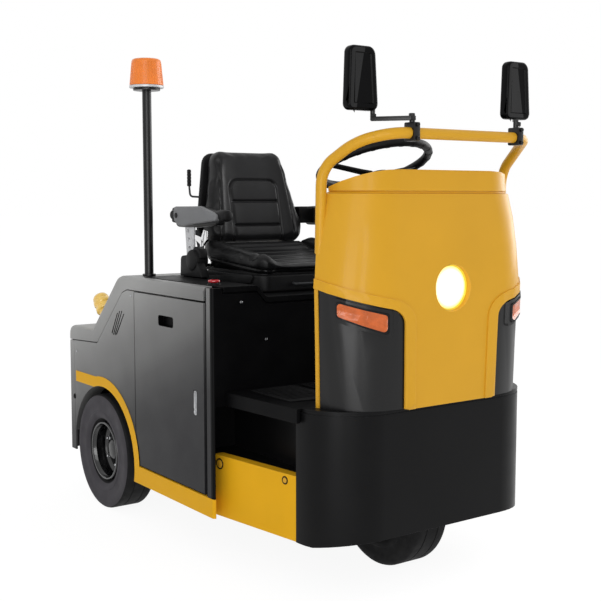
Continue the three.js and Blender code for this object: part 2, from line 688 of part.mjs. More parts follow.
// Battery door: an outer skin on a folded frame, with a pull pocket and a slot for the latch.
function batteryDoor(shell) {
  const region = outline([
    [DOOR.front + SEAM, DOOR.bottom], [DOOR.rear - 2.5, DOOR.bottom], [DOOR.rear - 2.5, DOOR.top],
    [DOOR.front + SEAM, DOOR.top],
  ]);
  const skin = common(shell, across(region), leftHalf());
  const frame = cut(
    box([HALF_WIDTH - 24, HALF_WIDTH - SHELL + 1], [DOOR.front + 24, DOOR.rear - 10],
      [DOOR.bottom + 4, DOOR.top - 12]),
    box([0, HALF_WIDTH - SHELL], [DOOR.front + 52, DOOR.rear - 40], [DOOR.bottom + 34, DOOR.top - 42]),
  );
  const [y0, y1] = HANDLE.y;
  const [z0, z1] = HANDLE.z;
  const cup = box([HALF_WIDTH - 24, HALF_WIDTH - 2], [y0 - 3, y1 + 3], [z0 - 3, z1 + 3]);
  const pocket = prism("x", rectangle(HANDLE.y, HANDLE.z, 9), [HALF_WIDTH - 21, HALF_WIDTH + 5]);
  const latchSlot = box([HALF_WIDTH - 6, HALF_WIDTH + 5], LATCH.y, LATCH.z);
  return cut(join(skin, frame, cup), pocket, latchSlot, archDisc(ARCH.radius + ARCH.band + RUN));
}

function doorLatch() {
  const [y0, y1] = LATCH.y;
  const [z0, z1] = LATCH.z;
  const plate = prism("x", rectangle([y0 + FIT, y1 - FIT], [z0 + FIT, z1 - FIT], 5),
    [HALF_WIDTH - 6 + FIT, HALF_WIDTH - 2]);
  const paddle = prism("x", rectangle([y0 + 4, y1 - 4], [z0 + 30, z1 - 6], 4),
    [HALF_WIDTH - 3, HALF_WIDTH + 2]);
  return join(plate, paddle);
}

// Inner corners of the corner post's lower end, which is folded inwards behind the door's edge.
const POST_END = DOOR.front - SEAM;
function returnFlange(front, end) {
  return [
    [HALF_WIDTH - 8, front], [HALF_WIDTH - 8, end - 6], [HALF_WIDTH - 23, end - 6], [HALF_WIDTH - 23, 321],
    [452, 321], [452, 327], [HALF_WIDTH - 15, 327], [HALF_WIDTH - 15, end + 2],
  ];
}

// Band round the wheel arch that runs on as the sill below the door and wraps the corner post.
function fenderTrim() {
  const proud = 2;
  const face = [HALF_WIDTH + FIT, HALF_WIDTH + proud];
  const ring = prism("x", circle(ARCH.y, ARCH.z, ARCH.radius + ARCH.band), face, { arcs: 28 });
  const tail = prism("x", rectangle([ARCH.y, 1270], [444, ARCH.z + ARCH.radius + ARCH.band - 6]), face);
  const behind = prism("x", outline([[ARCH.y, -200], [1400, -200], [1400, 444], [ARCH.y, 444]]), [400, 600]);
  const hole = prism("x", circle(ARCH.y, ARCH.z, ARCH.radius), [400, 600], { arcs: 28 });
  const below = box([400, 600], [700, 1400], [-200, SILL.bottom]);
  const band = cut(join(ring, tail), behind, hole, below);
  const sill = prism("z", outline([
    [HALF_WIDTH + proud, DOOR.rear], [HALF_WIDTH + proud, 255, 8], ...returnFlange(255, POST_END),
    [HALF_WIDTH - SILL.wall, POST_END + 2], [HALF_WIDTH - SILL.wall, DOOR.rear],
  ]), [SILL.bottom, SILL.top]);
  return join(band, cut(sill, hole));
}

// ---------------------------------------------------------------- seat box and lid

const POST_GROOVE = 294; // a groove runs down the corner post from here to the door

// Front edge of the lid as (x, z): high side consoles and a lower middle.
function lidProfile(lower, wider = 0) {
  const top = DECK_TOP + 1 - lower;
  const floor = top - LID.drop;
  const half = LID.half + wider;
  return [
    [-half, top], [-LID.shoulder - 4, top, 14], [-LID.well, floor, 22], [LID.well, floor, 22],
    [LID.shoulder + 4, top, 14], [half, top],
  ];
}

function seatBox() {
  const clear = LID.plate + RUN + 1;
  const sole = [[LID.half + 7, FLOOR.bottom], [-LID.half - 7, FLOOR.bottom]];
  const web = prism("y", outline([...lidProfile(clear), [LID.half, 772], [-LID.half, 772]]),
    [BODY_FRONT + 9, BODY_FRONT + 15]);
  const face = prism("y", outline([...lidProfile(LID.fold + RUN + 1, 7), ...sole]),
    [BODY_FRONT, BODY_FRONT + 15]);
  const hollow = prism("y", rectangle([-415, 415], [FLOOR.bottom + 56, 770], 20),
    [BODY_FRONT + 4, BODY_FRONT + 20]);
  const inner = LID.half + RUN;
  const edge = HALF_WIDTH;
  const side = [[edge - 5, POST_END], [edge - 5, POST_GROOVE], [edge, POST_GROOVE], [edge, BODY_FRONT, 7]];
  const post = prism("z", outline([
    ...side, [inner, BODY_FRONT], [inner, BODY_FRONT + 15], [edge - 26, BODY_FRONT + 15],
    [edge - 11, BODY_FRONT + 22], [edge - 11, POST_END],
  ]), [FLOOR.bottom, DECK_TOP - 2]);
  const foot = prism("z", outline([...side, ...returnFlange(BODY_FRONT, POST_END).slice(0, -1),
    [edge - 15, POST_END]]),
    [SILL.top + FIT, FLOOR.bottom + 1]);
  return join(web, cut(face, hollow), bothSides(post), bothSides(foot));
}

// Lid over the battery, which carries the seat; its front edge is folded down.
function seatDeck() {
  const under = lidProfile(LID.plate).reverse();
  const sheet = prism("y", outline([...lidProfile(0), ...under]), [BODY_FRONT - 2, LID.rear]);
  const fold = prism("y", outline([...lidProfile(0), ...lidProfile(LID.fold).reverse()]),
    [BODY_FRONT - 2, BODY_FRONT + 2.6]);
  const hinge = bothSides(bar("x", 5, [120, 300], [LID.rear, DECK_TOP + 7], 12));
  const leaf = bothSides(box([120, 300], [LID.rear - 4, LID.rear], [DECK_TOP - LID.drop, DECK_TOP + 7]));
  return join(sheet, fold, hinge, leaf);
}

function batteryBlock() {
  return box([-440, 440], [WELL_BACK + 14, 768], [180 + FIT, 790]);
}

// ---------------------------------------------------------------- seat

function seatBase() {
  const deck = DECK_TOP + 1 - LID.drop;
  const housing = prism("z", rectangle([-246, 246], [366, 740], 40), [deck + FIT, 890], { bevel: 8 });
  const pan = prism("z", rectangle([-232, 232], [380, 766], 40), [889, 898]);
  return join(housing, pan);
}

// Cushion that falls towards its front edge.
function seatCushion() {
  const block = prism("z", rectangle([-256, 256], [346, 738], 56), [898.5, 978], { bevel: 24, arcs: 3 });
  const over = prism("x", outline([[300, 926], [400, 938], [720, 978.1], [720, 990], [300, 990]]),
    [-300, 300]);
  return cut(block, over);
}

// The seat back leans from the cushion's rear edge.
const SEAT_BACK = { y: 809, z: 963, lean: THREE.MathUtils.degToRad(14), height: 332 };

const backFrame = () => new THREE.Matrix4().makeRotationX(-SEAT_BACK.lean).setPosition(0, SEAT_BACK.y,
  SEAT_BACK.z);

const backOutline = (grow) =>
  outline([
    [-186 - grow, -grow, 46], [186 + grow, -grow, 46], [203 + grow, 70, 60],
      [140 + grow, SEAT_BACK.height + grow, 45],
    [-140 - grow, SEAT_BACK.height + grow, 45], [-203 - grow, 70, 60],
  ]);

const seatBackrest = () => moved(prism("y", backOutline(0), [-68, 0], { bevel: 18, arcs: 3 }), backFrame());

function seatShell() {
  const shell = prism("y", backOutline(4), [0.6, 22], { bevel: 8, arcs: 3 });
  const bracket = prism("x", outline([
    [742, 898 + FIT], [762, 898 + FIT], [825, 953], [845, 1028], [829, 1028], [814, 973], [807, 960],
      [742, 923],
  ]), [150, 162]);
  return join(moved(shell, backFrame()), bothSides(bracket));
}

// Armrest on a drilled plate at the seat's side, its front end a round knob.
function armrest() {
  const pad = prism("x", outline([[535, 1062, 14], [535, 1098, 14], [842, 1112, 22], [842, 1040, 22]]),
    [262, 318],
    { bevel: 8 });
  const knob = bar("y", 20, [490, 545], [288, 1080], 16);
  const plate = prism("x", outline([[722, 898 + FIT], [764, 898 + FIT], [784, 1052], [716, 1052]]),
    [282, 292]);
  const tie = box([164, 290], [742, 758], [898 + FIT, 909]);
  return join(pad, knob, plate, tie);
}

// Reel of the seat belt, on a bracket beside the seat.
function beltReel() {
  const drum = bar("x", 36, [297, 329], [742, 936], 20);
  const bracket = box([296, 330], [712, 770], [DECK_TOP + 1 + FIT, 920]);
  return join(drum, bracket);
}

// ---------------------------------------------------------------- fittings

const SWITCH = [-432, 340];

function emergencySwitch() {
  const stem = bar("z", 13, [DECK_TOP + 1 + FIT, DECK_TOP + 8], SWITCH, 16);
  const button = bar("z", 19, [DECK_TOP + 7, DECK_TOP + 17], SWITCH, 20);
  return join(stem, button);
}

function beaconMast() {
  const { x, y, radius, top } = MAST;
  const pole = bar("z", radius, [DECK_TOP + FIT, top], [x, y], 16);
  const flange = bar("z", 23, [DECK_TOP + FIT, DECK_TOP + 8], [x, y], 20);
  const plate = bar("z", 46, [top - 1, top + 7], [x, y], 20);
  return join(pole, flange, plate);
}

function beaconLamp() {
  const { foot, crown, height } = BEACON;
  const profile = [[0, 0], [foot, 0], [foot, 14], [crown + 2, height - 8], [crown - 5, height], [0, height]];
  return turned("z", profile, [MAST.x, MAST.y, MAST.top + 7 + FIT], 32);
}

// Ribbed amber lamp standing on the slope behind the seat.
function rearLamp() {
  const lamp = turned("z", [
    [0, 0], [30, 0], [30, 6], [25, 10], [25, 40], [33, 44], [33, 58], [29, 62], [29, 68], [33, 72], [33, 86],
    [29, 90], [31, 96], [26, 110], [14, 116], [0, 116],
  ], [0, 0, 0], 16);
  const tilt = new THREE.Matrix4().makeRotationX(-Math.atan2(215, 226)).setPosition(440, 1089, 692.6);
  return moved(lamp, tilt);
}

function pedals() {
  const pad = (x) => moved(prism("z", rectangle([x - 30, x + 30], [-40, 40], 8), [0, 8]),
    new THREE.Matrix4().makeRotationX(THREE.MathUtils.degToRad(-38)).setPosition(0, -30, 610));
  const arm = (x) => box([x - 6, x + 6], [-52, -40], [FLOOR.top + FIT, 622]);
  const bridge = box([-190, 60], [-52, -40], [FLOOR.top + FIT, FLOOR.top + 12]);
  return join(pad(-160), pad(30), arm(-160), arm(30), bridge);
}

// Stepped jaw for a drawbar eye, bolted through the rear panel.
function towCoupling() {
  const { reach, height } = COUPLING;
  const back = box([-58, 58], [1320 + FIT, BODY_REAR + 8], [height - 58, height + 58]);
  const jaws = [-58, -18, 18, 58].map((z) => {
    const tongue = rectangle([-34, 34], [BODY_REAR, BODY_REAR + reach], 26);
    return prism("z", tongue, [height + z - 6, height + z + 6]);
  });
  const web = box([-34, 34], [BODY_REAR + 4, BODY_REAR + 24], [height - 60, height + 60]);
  const pinHole = bar("z", 13.5, [height - 80, height + 80], [0, BODY_REAR + reach - 32], 20);
  return cut(join(back, web, ...jaws), pinHole);
}

function couplingPin() {
  const y = BODY_REAR + COUPLING.reach - 32;
  const { height } = COUPLING;
  const pin = bar("z", 13, [height - 72, height + 74], [0, y], 20);
  const collar = bar("z", 20, [height + 64 + FIT, height + 74], [0, y], 20);
  const grip = tube([[-24, y, height + 70], [-24, y, height + 118], [24, y, height + 118],
    [24, y, height + 70]], 5,
    { bend: 14, steps: 24, sides: 8 });
  return join(pin, collar, grip, box([-28, 28], [y - 7, y + 7], [height + 65, height + 75]));
}

// ---------------------------------------------------------------- assembly

rearWheels();
add("rear_axle", "steel", rearAxle());
add("front_fork", "steel", frontFork());
frontWheel();

add("chassis_frame", "steel", chassisFrame());
add("front_bumper", "black", frontBumper());
addPair("step_panel", "yellow", stepPanel());
add("floor_plate", "black", floorPlate());

add("front_cowl", "yellow", frontCowl());
addPair("cowl_corner", "black", cowlCorner());
addPair("turn_signal", "amber", turnSignal());
add("headlight", "lens", headlight());
add("dashboard", "plastic", dashboard());
add("steering_column", "plastic", steeringColumn());
add("steering_wheel", "plastic", steeringWheel());
add("handrail", "yellow", railTube(RAIL.radius));
for (const place of MIRRORS) add(`mirror_${place.name}`, "plastic", mirror(place));

const shell = bodyShell();
add("rear_cover", "grey", rearCover(shell));
addPair("side_panel", "grey", sidePanel(shell));
add("rear_panel", "grey", rearPanel(shell));
addPair("battery_door", "grey", batteryDoor(shell));
addPair("door_latch", "chrome", doorLatch());
addPair("fender_trim", "yellow", fenderTrim());

add("seat_box", "black", seatBox());
add("seat_deck", "black", seatDeck());
add("battery_block", "steel", batteryBlock());
add("seat_base", "plastic", seatBase());
add("seat_cushion", "vinyl", seatCushion());
add("seat_backrest", "vinyl", seatBackrest());
add("seat_shell", "plastic", seatShell());
addPair("armrest", "plastic", armrest());
add("belt_reel", "plastic", mirrored(beltReel()));

add("emergency_switch", "red", emergencySwitch());
add("beacon_mast", "black", beaconMast());
add("beacon_lamp", "amber", beaconLamp());
addPair("rear_lamp", "amber", rearLamp());
add("pedals", "rubber", pedals());
add("tow_coupling", "steel", towCoupling());
add("coupling_pin", "chrome", couplingPin());

export default vehicle;
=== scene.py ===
"""Three-wheel electric tow tractor with a driver's seat: its looks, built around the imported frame."""

import math
from contextlib import contextmanager

import bmesh
import bpy
from mathutils import Matrix, Vector
from mathutils.bvhtree import BVHTree


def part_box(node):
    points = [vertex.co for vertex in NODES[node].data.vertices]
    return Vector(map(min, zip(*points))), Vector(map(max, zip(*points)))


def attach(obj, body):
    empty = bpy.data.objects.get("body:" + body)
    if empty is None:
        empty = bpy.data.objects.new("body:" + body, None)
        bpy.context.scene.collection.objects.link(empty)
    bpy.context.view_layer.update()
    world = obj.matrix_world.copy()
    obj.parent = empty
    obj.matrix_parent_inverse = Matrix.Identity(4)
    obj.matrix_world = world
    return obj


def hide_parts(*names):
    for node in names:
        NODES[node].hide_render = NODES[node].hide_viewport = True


bl_info = {
    "name": "Tow Tractor",
    "version": (1, 0, 0),
    "blender": (4, 5, 0),
    "location": "3D View > Sidebar > Tow Tractor",
    "description": "Builds the looks of a three-wheel electric tow tractor around its fixed frame",
    "category": "Object",
}

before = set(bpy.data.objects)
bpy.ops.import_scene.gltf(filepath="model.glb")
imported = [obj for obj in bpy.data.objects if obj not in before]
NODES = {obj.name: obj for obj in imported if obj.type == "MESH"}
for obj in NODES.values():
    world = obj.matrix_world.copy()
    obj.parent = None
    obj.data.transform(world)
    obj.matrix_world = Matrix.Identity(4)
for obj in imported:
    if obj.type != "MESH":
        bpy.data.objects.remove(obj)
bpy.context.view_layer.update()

MM = 0.001
STEER_Y = (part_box("front_tyre")[0].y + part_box("front_tyre")[1].y) / 2 - 2 * MM  # the steering axis
SMOOTH = math.radians(30)  # edges flatter than this are shaded smooth
FLAT = math.radians(0.5)  # triangles that lie flatter than this to each other become one face
SHARP = math.radians(32)  # edges of the CAD solids sharper than this are rounded
HAIR = 1e-5  # metres within which two places count as one
SIDES = (("left", 1), ("right", -1))


def at(x, y, z):
    """A place given in millimetres from the floor below the steering axis, as metres in the frame."""
    return Vector((x * MM, STEER_Y + y * MM, z * MM))


def node_middle(node):
    """The middle of a CAD node's box."""
    low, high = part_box(node)
    return (low + high) / 2


# ---------------------------------------------------------------- colours and sizes a user would change


def linear(text):
    """An sRGB hex colour as linear values with full alpha."""
    parts = [int(text[i : i + 2], 16) / 255 for i in (1, 3, 5)]
    return tuple(c / 12.92 if c <= 0.04045 else ((c + 0.055) / 1.055) ** 2.4 for c in parts) + (1.0,)


def colour(name, description, default):
    return bpy.props.FloatVectorProperty(
        name=name, description=description, subtype="COLOR", size=4, min=0, max=1, default=linear(default)
    )


def length(name, description, default):
    return bpy.props.FloatProperty(
        name=name, description=description, default=default, min=0, subtype="DISTANCE", unit="LENGTH"
    )


class TowTractorColours(bpy.types.PropertyGroup):
    cowl: colour("Cowl yellow", "Enamel of the cowl, its raised bands and the handrail", "#D49E28")
    # Body grey, high and low: the two ends of the painted shade on the body panels, lighter near the deck and
    # darker near the road.
    body_high: colour("Body grey, high", "Enamel of the body panels near the deck", "#A3A3A2")
    body_low: colour("Body grey, low", "The same enamel near the road, under a film of dust", "#2A2A2C")
    black: colour("Satin black", "Powder coat of the bumper, the frame and the armrests' pivots", "#0D0D0E")
    # The tread's near-black is partly painted shade.
    rubber: colour("Rubber", "Tread of the tyres", "#0D0D0E")
    vinyl: colour("Seat vinyl", "Covering of the seat back and the armrests", "#1B1B1C")
    beacon: colour("Beacon orange", "Cover of the warning beacon", "#F08433")
    signal: colour("Signal amber", "Lenses of the turn signals", "#C85F24")


class TowTractorSizes(bpy.types.PropertyGroup):
    panel_edge: length("Panel edge", "Radius that breaks the edges of sheet-metal panels", 0.0022)
    tread_depth: length("Tread depth", "Depth of the grooves in the tyres", 0.002)
    tread_width: length("Groove width", "Width of the grooves round the tyres", 0.005)
    pad_swell: length("Pad swell", "Most that the seat's foam pushes its cover out", 0.007)
    channel_depth: length("Channel depth", "Depth of the sewn channels of the seat", 0.007)


class TowTractorStage(bpy.types.PropertyGroup):
    floor: colour("Floor", "Studio floor", "#FFFFFF")
    fill: bpy.props.FloatProperty(name="Fill", description="Strength of the studio's even light",
                                  default=0.62, min=0)
    key: bpy.props.FloatProperty(name="Key", description="Power of the large lamp ahead and to the right",
                                 default=46, min=0, subtype="POWER")
    rim: bpy.props.FloatProperty(
        name="Rim", description="Power of the lamp on the left", default=60, min=0, subtype="POWER"
    )
    strip: bpy.props.FloatProperty(
        name="Strip", description="Power of the upright strip lamp that draws a line down rounded corners",
        default=45, min=0, subtype="POWER",
    )
    sheen: bpy.props.FloatProperty(
        name="Sheen", description="Power of the lamp that only shows in glossy surfaces", default=28, min=0,
        subtype="POWER",
    )


def colours():
    return bpy.context.scene.tractor_colours


def sizes():
    return bpy.context.scene.tractor_sizes


# ---------------------------------------------------------------- modelling by hand


def only(piece):
    """Makes the piece the one that operators act on."""
    if bpy.context.object and bpy.context.object.mode != "OBJECT":
        bpy.ops.object.mode_set(mode="OBJECT")
    bpy.ops.object.select_all(action="DESELECT")
    piece.select_set(True)
    bpy.context.view_layer.objects.active = piece
    return piece


def rename(piece, name):
    """Gives the object and its mesh a name."""
    piece.name = name
    piece.data.name = name
    return piece


def named(name):
    """Names the object that an operator has just added."""
    return rename(bpy.context.object, name)


@contextmanager
def editing(piece, kind="FACE"):
    """Edit mode on the piece alone, with all its faces, edges or vertices selected."""
    only(piece)
    bpy.ops.object.mode_set(mode="EDIT")
    bpy.ops.mesh.select_mode(type=kind)
    bpy.ops.mesh.select_all(action="SELECT")
    yield
    bpy.ops.object.mode_set(mode="OBJECT")


def pick(piece, kind, wanted):
    """Selects the edges or faces for which wanted(centre, normal) is true; an edge gives its direction
    instead of a normal."""
    bpy.ops.mesh.select_mode(type=kind)
    bpy.ops.mesh.select_all(action="DESELECT")
    mesh = bmesh.from_edit_mesh(piece.data)
    found = False
    for item in mesh.edges if kind == "EDGE" else mesh.faces:
        if kind == "EDGE":
            centre = (item.verts[0].co + item.verts[1].co) / 2
            normal = (item.verts[1].co - item.verts[0].co).normalized()
        else:
            centre, normal = item.calc_center_median(), item.normal
        if wanted(centre, normal):
            item.select_set(True)
            found = True
    mesh.select_flush_mode()
    bmesh.update_edit_mesh(piece.data)
    if not found:
        raise RuntimeError(f"nothing to select on {piece.name}")


def modify(piece, kind, **settings):
    """Adds a modifier with its settings and applies it."""
    only(piece)
    modifier = piece.modifiers.new(kind, kind)
    for key, value in settings.items():
        setattr(modifier, key, value)
    bpy.ops.object.modifier_apply(modifier=modifier.name)
    return piece


def settle(piece):
    """Moves the object's place, turn and size into its mesh."""
    only(piece)
    bpy.ops.object.transform_apply(location=True, rotation=True, scale=True)
    return piece


def placed(piece, matrix):
    """Moves and turns the piece's mesh by a matrix."""
    piece.matrix_world = matrix @ piece.matrix_world
    return settle(piece)


def outward(piece):
    """Merges what doubles up and turns all faces outwards."""
    with editing(piece):
        bpy.ops.mesh.remove_doubles(threshold=0.00002)
        bpy.ops.mesh.normals_make_consistent(inside=False)
    return piece


def chain(name, points, closed=False):
    """A line of vertices through the points, drawn by extruding from one to the next.
    closed: make it a face."""
    bpy.ops.object.select_all(action="DESELECT")
    bpy.ops.mesh.primitive_plane_add(size=0.001, location=(0, 0, 0))
    piece = named(name)
    with editing(piece, "VERT"):
        bpy.ops.mesh.merge(type="CENTER")
        bpy.ops.transform.translate(value=points[0])
        for here, there in zip(points, points[1:]):
            bpy.ops.mesh.extrude_vertices_move(TRANSFORM_OT_translate={"value": Vector(there) - Vector(here)})
        if closed:
            bpy.ops.mesh.select_all(action="SELECT")
            bpy.ops.mesh.edge_face_add()
    return piece


def rounded(corners, steps=4):
    """A closed outline of [u, v, radius] corners as points (u, v), each corner an arc of some steps."""
    points = []
    count = len(corners)
    for i in range(count):
        u, v, radius = (tuple(corners[i]) + (0,))[:3]
        here = Vector((u, v))
        if radius <= 0:
            points.append(here)
            continue
        back = (Vector(corners[i - 1][:2]) - here).normalized()
        ahead = (Vector(corners[(i + 1) % count][:2]) - here).normalized()
        half = back.angle(ahead) / 2
        middle = here + (back + ahead).normalized() * radius / math.sin(half)
        start = here + back * radius / math.tan(half) - middle
        end = here + ahead * radius / math.tan(half) - middle
        sweep = start.angle_signed(end)
        for k in range(steps + 1):
            turn = Matrix.Rotation(-sweep * k / steps, 2)
            points.append(middle + turn @ start)
    return points


# The turn that takes a drawing on the floor to the plane that its axis pierces
AXES = {
    "x": Matrix(((0, 0, 1), (1, 0, 0), (0, 1, 0))).to_4x4(),
    "y": Matrix(((1, 0, 0), (0, 0, 1), (0, 1, 0))).to_4x4(),
    "z": Matrix.Identity(4),
}


def slab(name, axis, corners, low, high, edge=0.0, segments=2, steps=4):
    """A plate with rounded corners, in millimetres: (y, z), (x, z) or (x, y) pushed along x, y or z.
    edge: radius of its rim."""
    points = [Vector((u * MM, v * MM, 0)) for u, v in rounded(corners, steps)]
    piece = chain(name, points, closed=True)
    with editing(piece):
        bpy.ops.mesh.extrude_region_move(TRANSFORM_OT_translate={"value": (0, 0, (high - low) * MM)})
    if edge:
        top = (high - low) * MM
        with editing(piece):
            pick(piece, "EDGE", lambda centre, normal: abs(normal.z) < 0.1
                 and not HAIR < centre.z < top - HAIR)
            bpy.ops.mesh.bevel(offset=edge * MM, segments=segments, profile=0.5, clamp_overlap=True)
    shift = {"x": at(low, 0, 0), "y": at(0, low, 0), "z": at(0, 0, low)}[axis]
    return outward(placed(piece, Matrix.Translation(shift) @ AXES[axis]))


def spun(name, profile, matrix, sides=48):
    """A profile of (radius, along) in millimetres spun about the matrix's z axis; a point on the axis
    closes the form there, and so does a profile that ends where it starts."""
    points = [Vector((radius * MM, 0, along * MM)) for radius, along in profile]
    piece = chain(name, points)
    with editing(piece, "VERT"):
        bpy.ops.mesh.spin(steps=sides, angle=2 * math.pi, center=(0, 0, 0), axis=(0, 0, 1))
    return outward(placed(outward(piece), matrix))


def sector(place, middle, count):
    """Which of a ring's equal sectors a place is in; turned by 7, so that no sector's number is negative."""
    return int((math.atan2(place.y - middle.y, place.x - middle.x) + 7) * count / 2 / math.pi)


def facing(place, direction):
    """The frame whose z axis looks in a direction from a place."""
    return Matrix.Translation(place) @ Vector(direction).to_track_quat("Z", "Y").to_matrix().to_4x4()


def block(name, low, high, edge):
    """A box between two corners in millimetres, its edges rounded."""
    first, last = at(*low), at(*high)
    bpy.ops.object.select_all(action="DESELECT")
    bpy.ops.mesh.primitive_cube_add(size=1, location=(first + last) / 2, scale=last - first)
    piece = settle(named(name))
    with editing(piece, "EDGE"):
        bpy.ops.mesh.bevel(offset=edge * MM, segments=2, profile=0.5, clamp_overlap=True)
    return piece


def pipe(name, points, radius, bend, sides=6):
    """A round tube through places in millimetres, its bends rounded; each end of a bend gets two handles."""
    places = [at(*point) for point in points]
    path = [(places[0],) * 3]
    for before, place, after in zip(places, places[1:], places[2:]):
        back = (before - place).normalized() * bend * MM
        ahead = (after - place).normalized() * bend * MM
        path.append((place + back, place + back * 1.5, place + back * 0.4))
        path.append((place + ahead, place + ahead * 0.4, place + ahead * 1.5))
    path.append((places[-1],) * 3)
    bpy.ops.object.select_all(action="DESELECT")
    bpy.ops.curve.primitive_bezier_curve_add(location=(0, 0, 0))
    piece = named(name)
    spline = piece.data.splines[0]
    spline.bezier_points.add(len(path) - 2)
    for point, (place, left, right) in zip(spline.bezier_points, path):
        point.handle_left_type = point.handle_right_type = "FREE"
        point.co, point.handle_left, point.handle_right = place, left, right
    piece.data.dimensions = "3D"
    piece.data.resolution_u = 8
    piece.data.bevel_depth = radius * MM
    piece.data.bevel_resolution = sides
    piece.data.use_fill_caps = True
    only(piece)
    bpy.ops.object.convert(target="MESH")
    return outward(settle(named(name)))


def copied(piece, name):
    """A second object with a mesh of its own."""
    only(piece)
    bpy.ops.object.duplicate(linked=False)
    return named(name)


def joined(name, *parts):
    """Makes one object of several, under a name of its own."""
    only(parts[0])
    for part in parts[1:]:
        part.select_set(True)
    bpy.ops.object.join()
    return named(name)


def carved(piece, *cutters):
    """Takes the cutters' room out of the piece."""
    for cutter in cutters:
        modify(piece, "BOOLEAN", operation="DIFFERENCE", object=cutter, solver="EXACT")
        only(cutter)
        bpy.ops.object.delete()
    return piece


def scored(piece, sign, outline):
    """Cuts the piece along a convex outline of (along, up) millimetres, pushed through the cowl's corner on
    one side, and returns the test for a point inside it."""
    along, out = Vector((-sign, -1, 0)).normalized(), Vector((sign, -1, 0)).normalized()
    places = [at(0, 0, v) + along * u * MM for u, v in outline]
    middle = sum(places, Vector()) / len(places)
    sides = []
    for first, last in zip(places, places[1:] + places[:1]):
        inward = (last - first).cross(out).normalized()
        inward *= math.copysign(1, (middle - first).dot(inward))
        with editing(piece):
            bpy.ops.mesh.bisect(plane_co=first, plane_no=inward)
        sides.append((first, inward))
    return lambda point: all((point - first).dot(inward) > 0 for first, inward in sides)


def other_side(piece, name):
    """The same piece on the vehicle's other side."""
    twin = copied(piece, name)
    twin.scale.x = -1
    return outward(settle(twin))


def cad_copy(node, name, edge=0.0):
    """A copy of a CAD node's mesh: triangles merged into faces, sharp edges rounded by edge metres."""
    bpy.ops.object.select_all(action="DESELECT")
    piece = bpy.data.objects.new(name, NODES[node].data.copy())
    bpy.context.scene.collection.objects.link(piece)
    piece.data.name = name
    outward(piece)
    if edge:
        with editing(piece):
            bpy.ops.mesh.dissolve_limited(angle_limit=FLAT)
        modify(piece, "BEVEL", width=edge, segments=2, limit_method="ANGLE", angle_limit=SHARP,
               use_clamp_overlap=True, harden_normals=False)
    return piece


def touch(node, start, direction):
    """Where a straight line first meets a CAD node, and the way its surface faces there."""
    mesh = NODES[node].data
    tree = BVHTree.FromPolygons([v.co for v in mesh.vertices], [tuple(p.vertices) for p in mesh.polygons])
    place, normal = tree.ray_cast(start, Vector(direction))[:2]
    if place is None:
        raise RuntimeError(f"{node} is not in the line's way")
    return place, normal


def second(piece, finish, wanted):
    """Gives the faces for which wanted(centre, normal) is true a finish of their own."""
    piece.data.materials.append(finish_of(finish))
    with editing(piece):
        pick(piece, "FACE", wanted)
        piece.active_material_index = len(piece.data.materials) - 1
        bpy.ops.object.material_slot_assign()
    return piece


def finished(piece, body, finish, slot, *nodes):
    """The last step of every piece: smooth shading, finish, the body it rides on and what it stands for."""
    settle(piece)
    bpy.ops.object.shade_smooth_by_angle(angle=SMOOTH)
    piece.data.materials.clear()
    piece.data.materials.append(finish_of(finish))
    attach(piece, body)
    if nodes:
        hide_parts(*nodes)
    return piece


def both_sides(piece, body, finish, slot, *nodes):
    """Finishes a piece of the right side and its twin on the left; the nodes are given without their side."""
    pair = (piece, other_side(piece, piece.name.replace("right", "left")))
    for each in pair:
        side = each.name.split("_")[-1]
        finished(each, body, finish, slot, *[f"{node}_{side}" for node in nodes])
    return pair




# ---------------------------------------------------------------- materials


# A colour mix takes its factor and its two colours at these sockets, and gives the mix at MIXED
MIX_FACTOR, MIX_FIRST, MIX_SECOND, MIXED = 0, 6, 7, 2


def add_node(tree, kind, inputs=(), **settings):
    """Adds a node with its settings; inputs gives (socket, value or another node's output) pairs, the socket
    by name or by number. A Map Range node's are numbered: value, from low, from high, to low, to high."""
    made = tree.nodes.new(kind)
    for key, value in settings.items():
        setattr(made, key, value)
    for socket, value in inputs:
        if isinstance(value, bpy.types.NodeSocket):
            tree.links.new(value, made.inputs[socket])
        else:
            made.inputs[socket].default_value = value
    return made


def new_material(name):
    """An empty material, its tree, its shader and the object's own coordinates."""
    material = bpy.data.materials.new(name)
    material.use_nodes = True
    tree = material.node_tree
    shader = tree.nodes["Principled BSDF"]
    place = add_node(tree, "ShaderNodeTexCoord").outputs["Object"]
    return material, tree, shader, place


def per_metre(size_mm):
    """Scale of a pattern whose features are this many millimetres wide."""
    return 1000 / size_mm


def shade(base, factor):
    """The same colour, lighter or darker."""
    return tuple(min(1, c * factor) for c in base[:3]) + (1.0,)


WORN_EDGE = 2.5 * MM  # radius within which an edge counts as rubbed
CHIP_MM = 14  # width of the patches in which paint is rubbed or whole
WAVE_TURNS = 6.283  # a Wave texture's scale over this gives bands about as wide as asked for


def tone_of(base):
    """A hex colour, or one of the tractor's own colours by its name, as linear values."""
    return linear(base) if base.startswith("#") else getattr(colours(), base)[:]


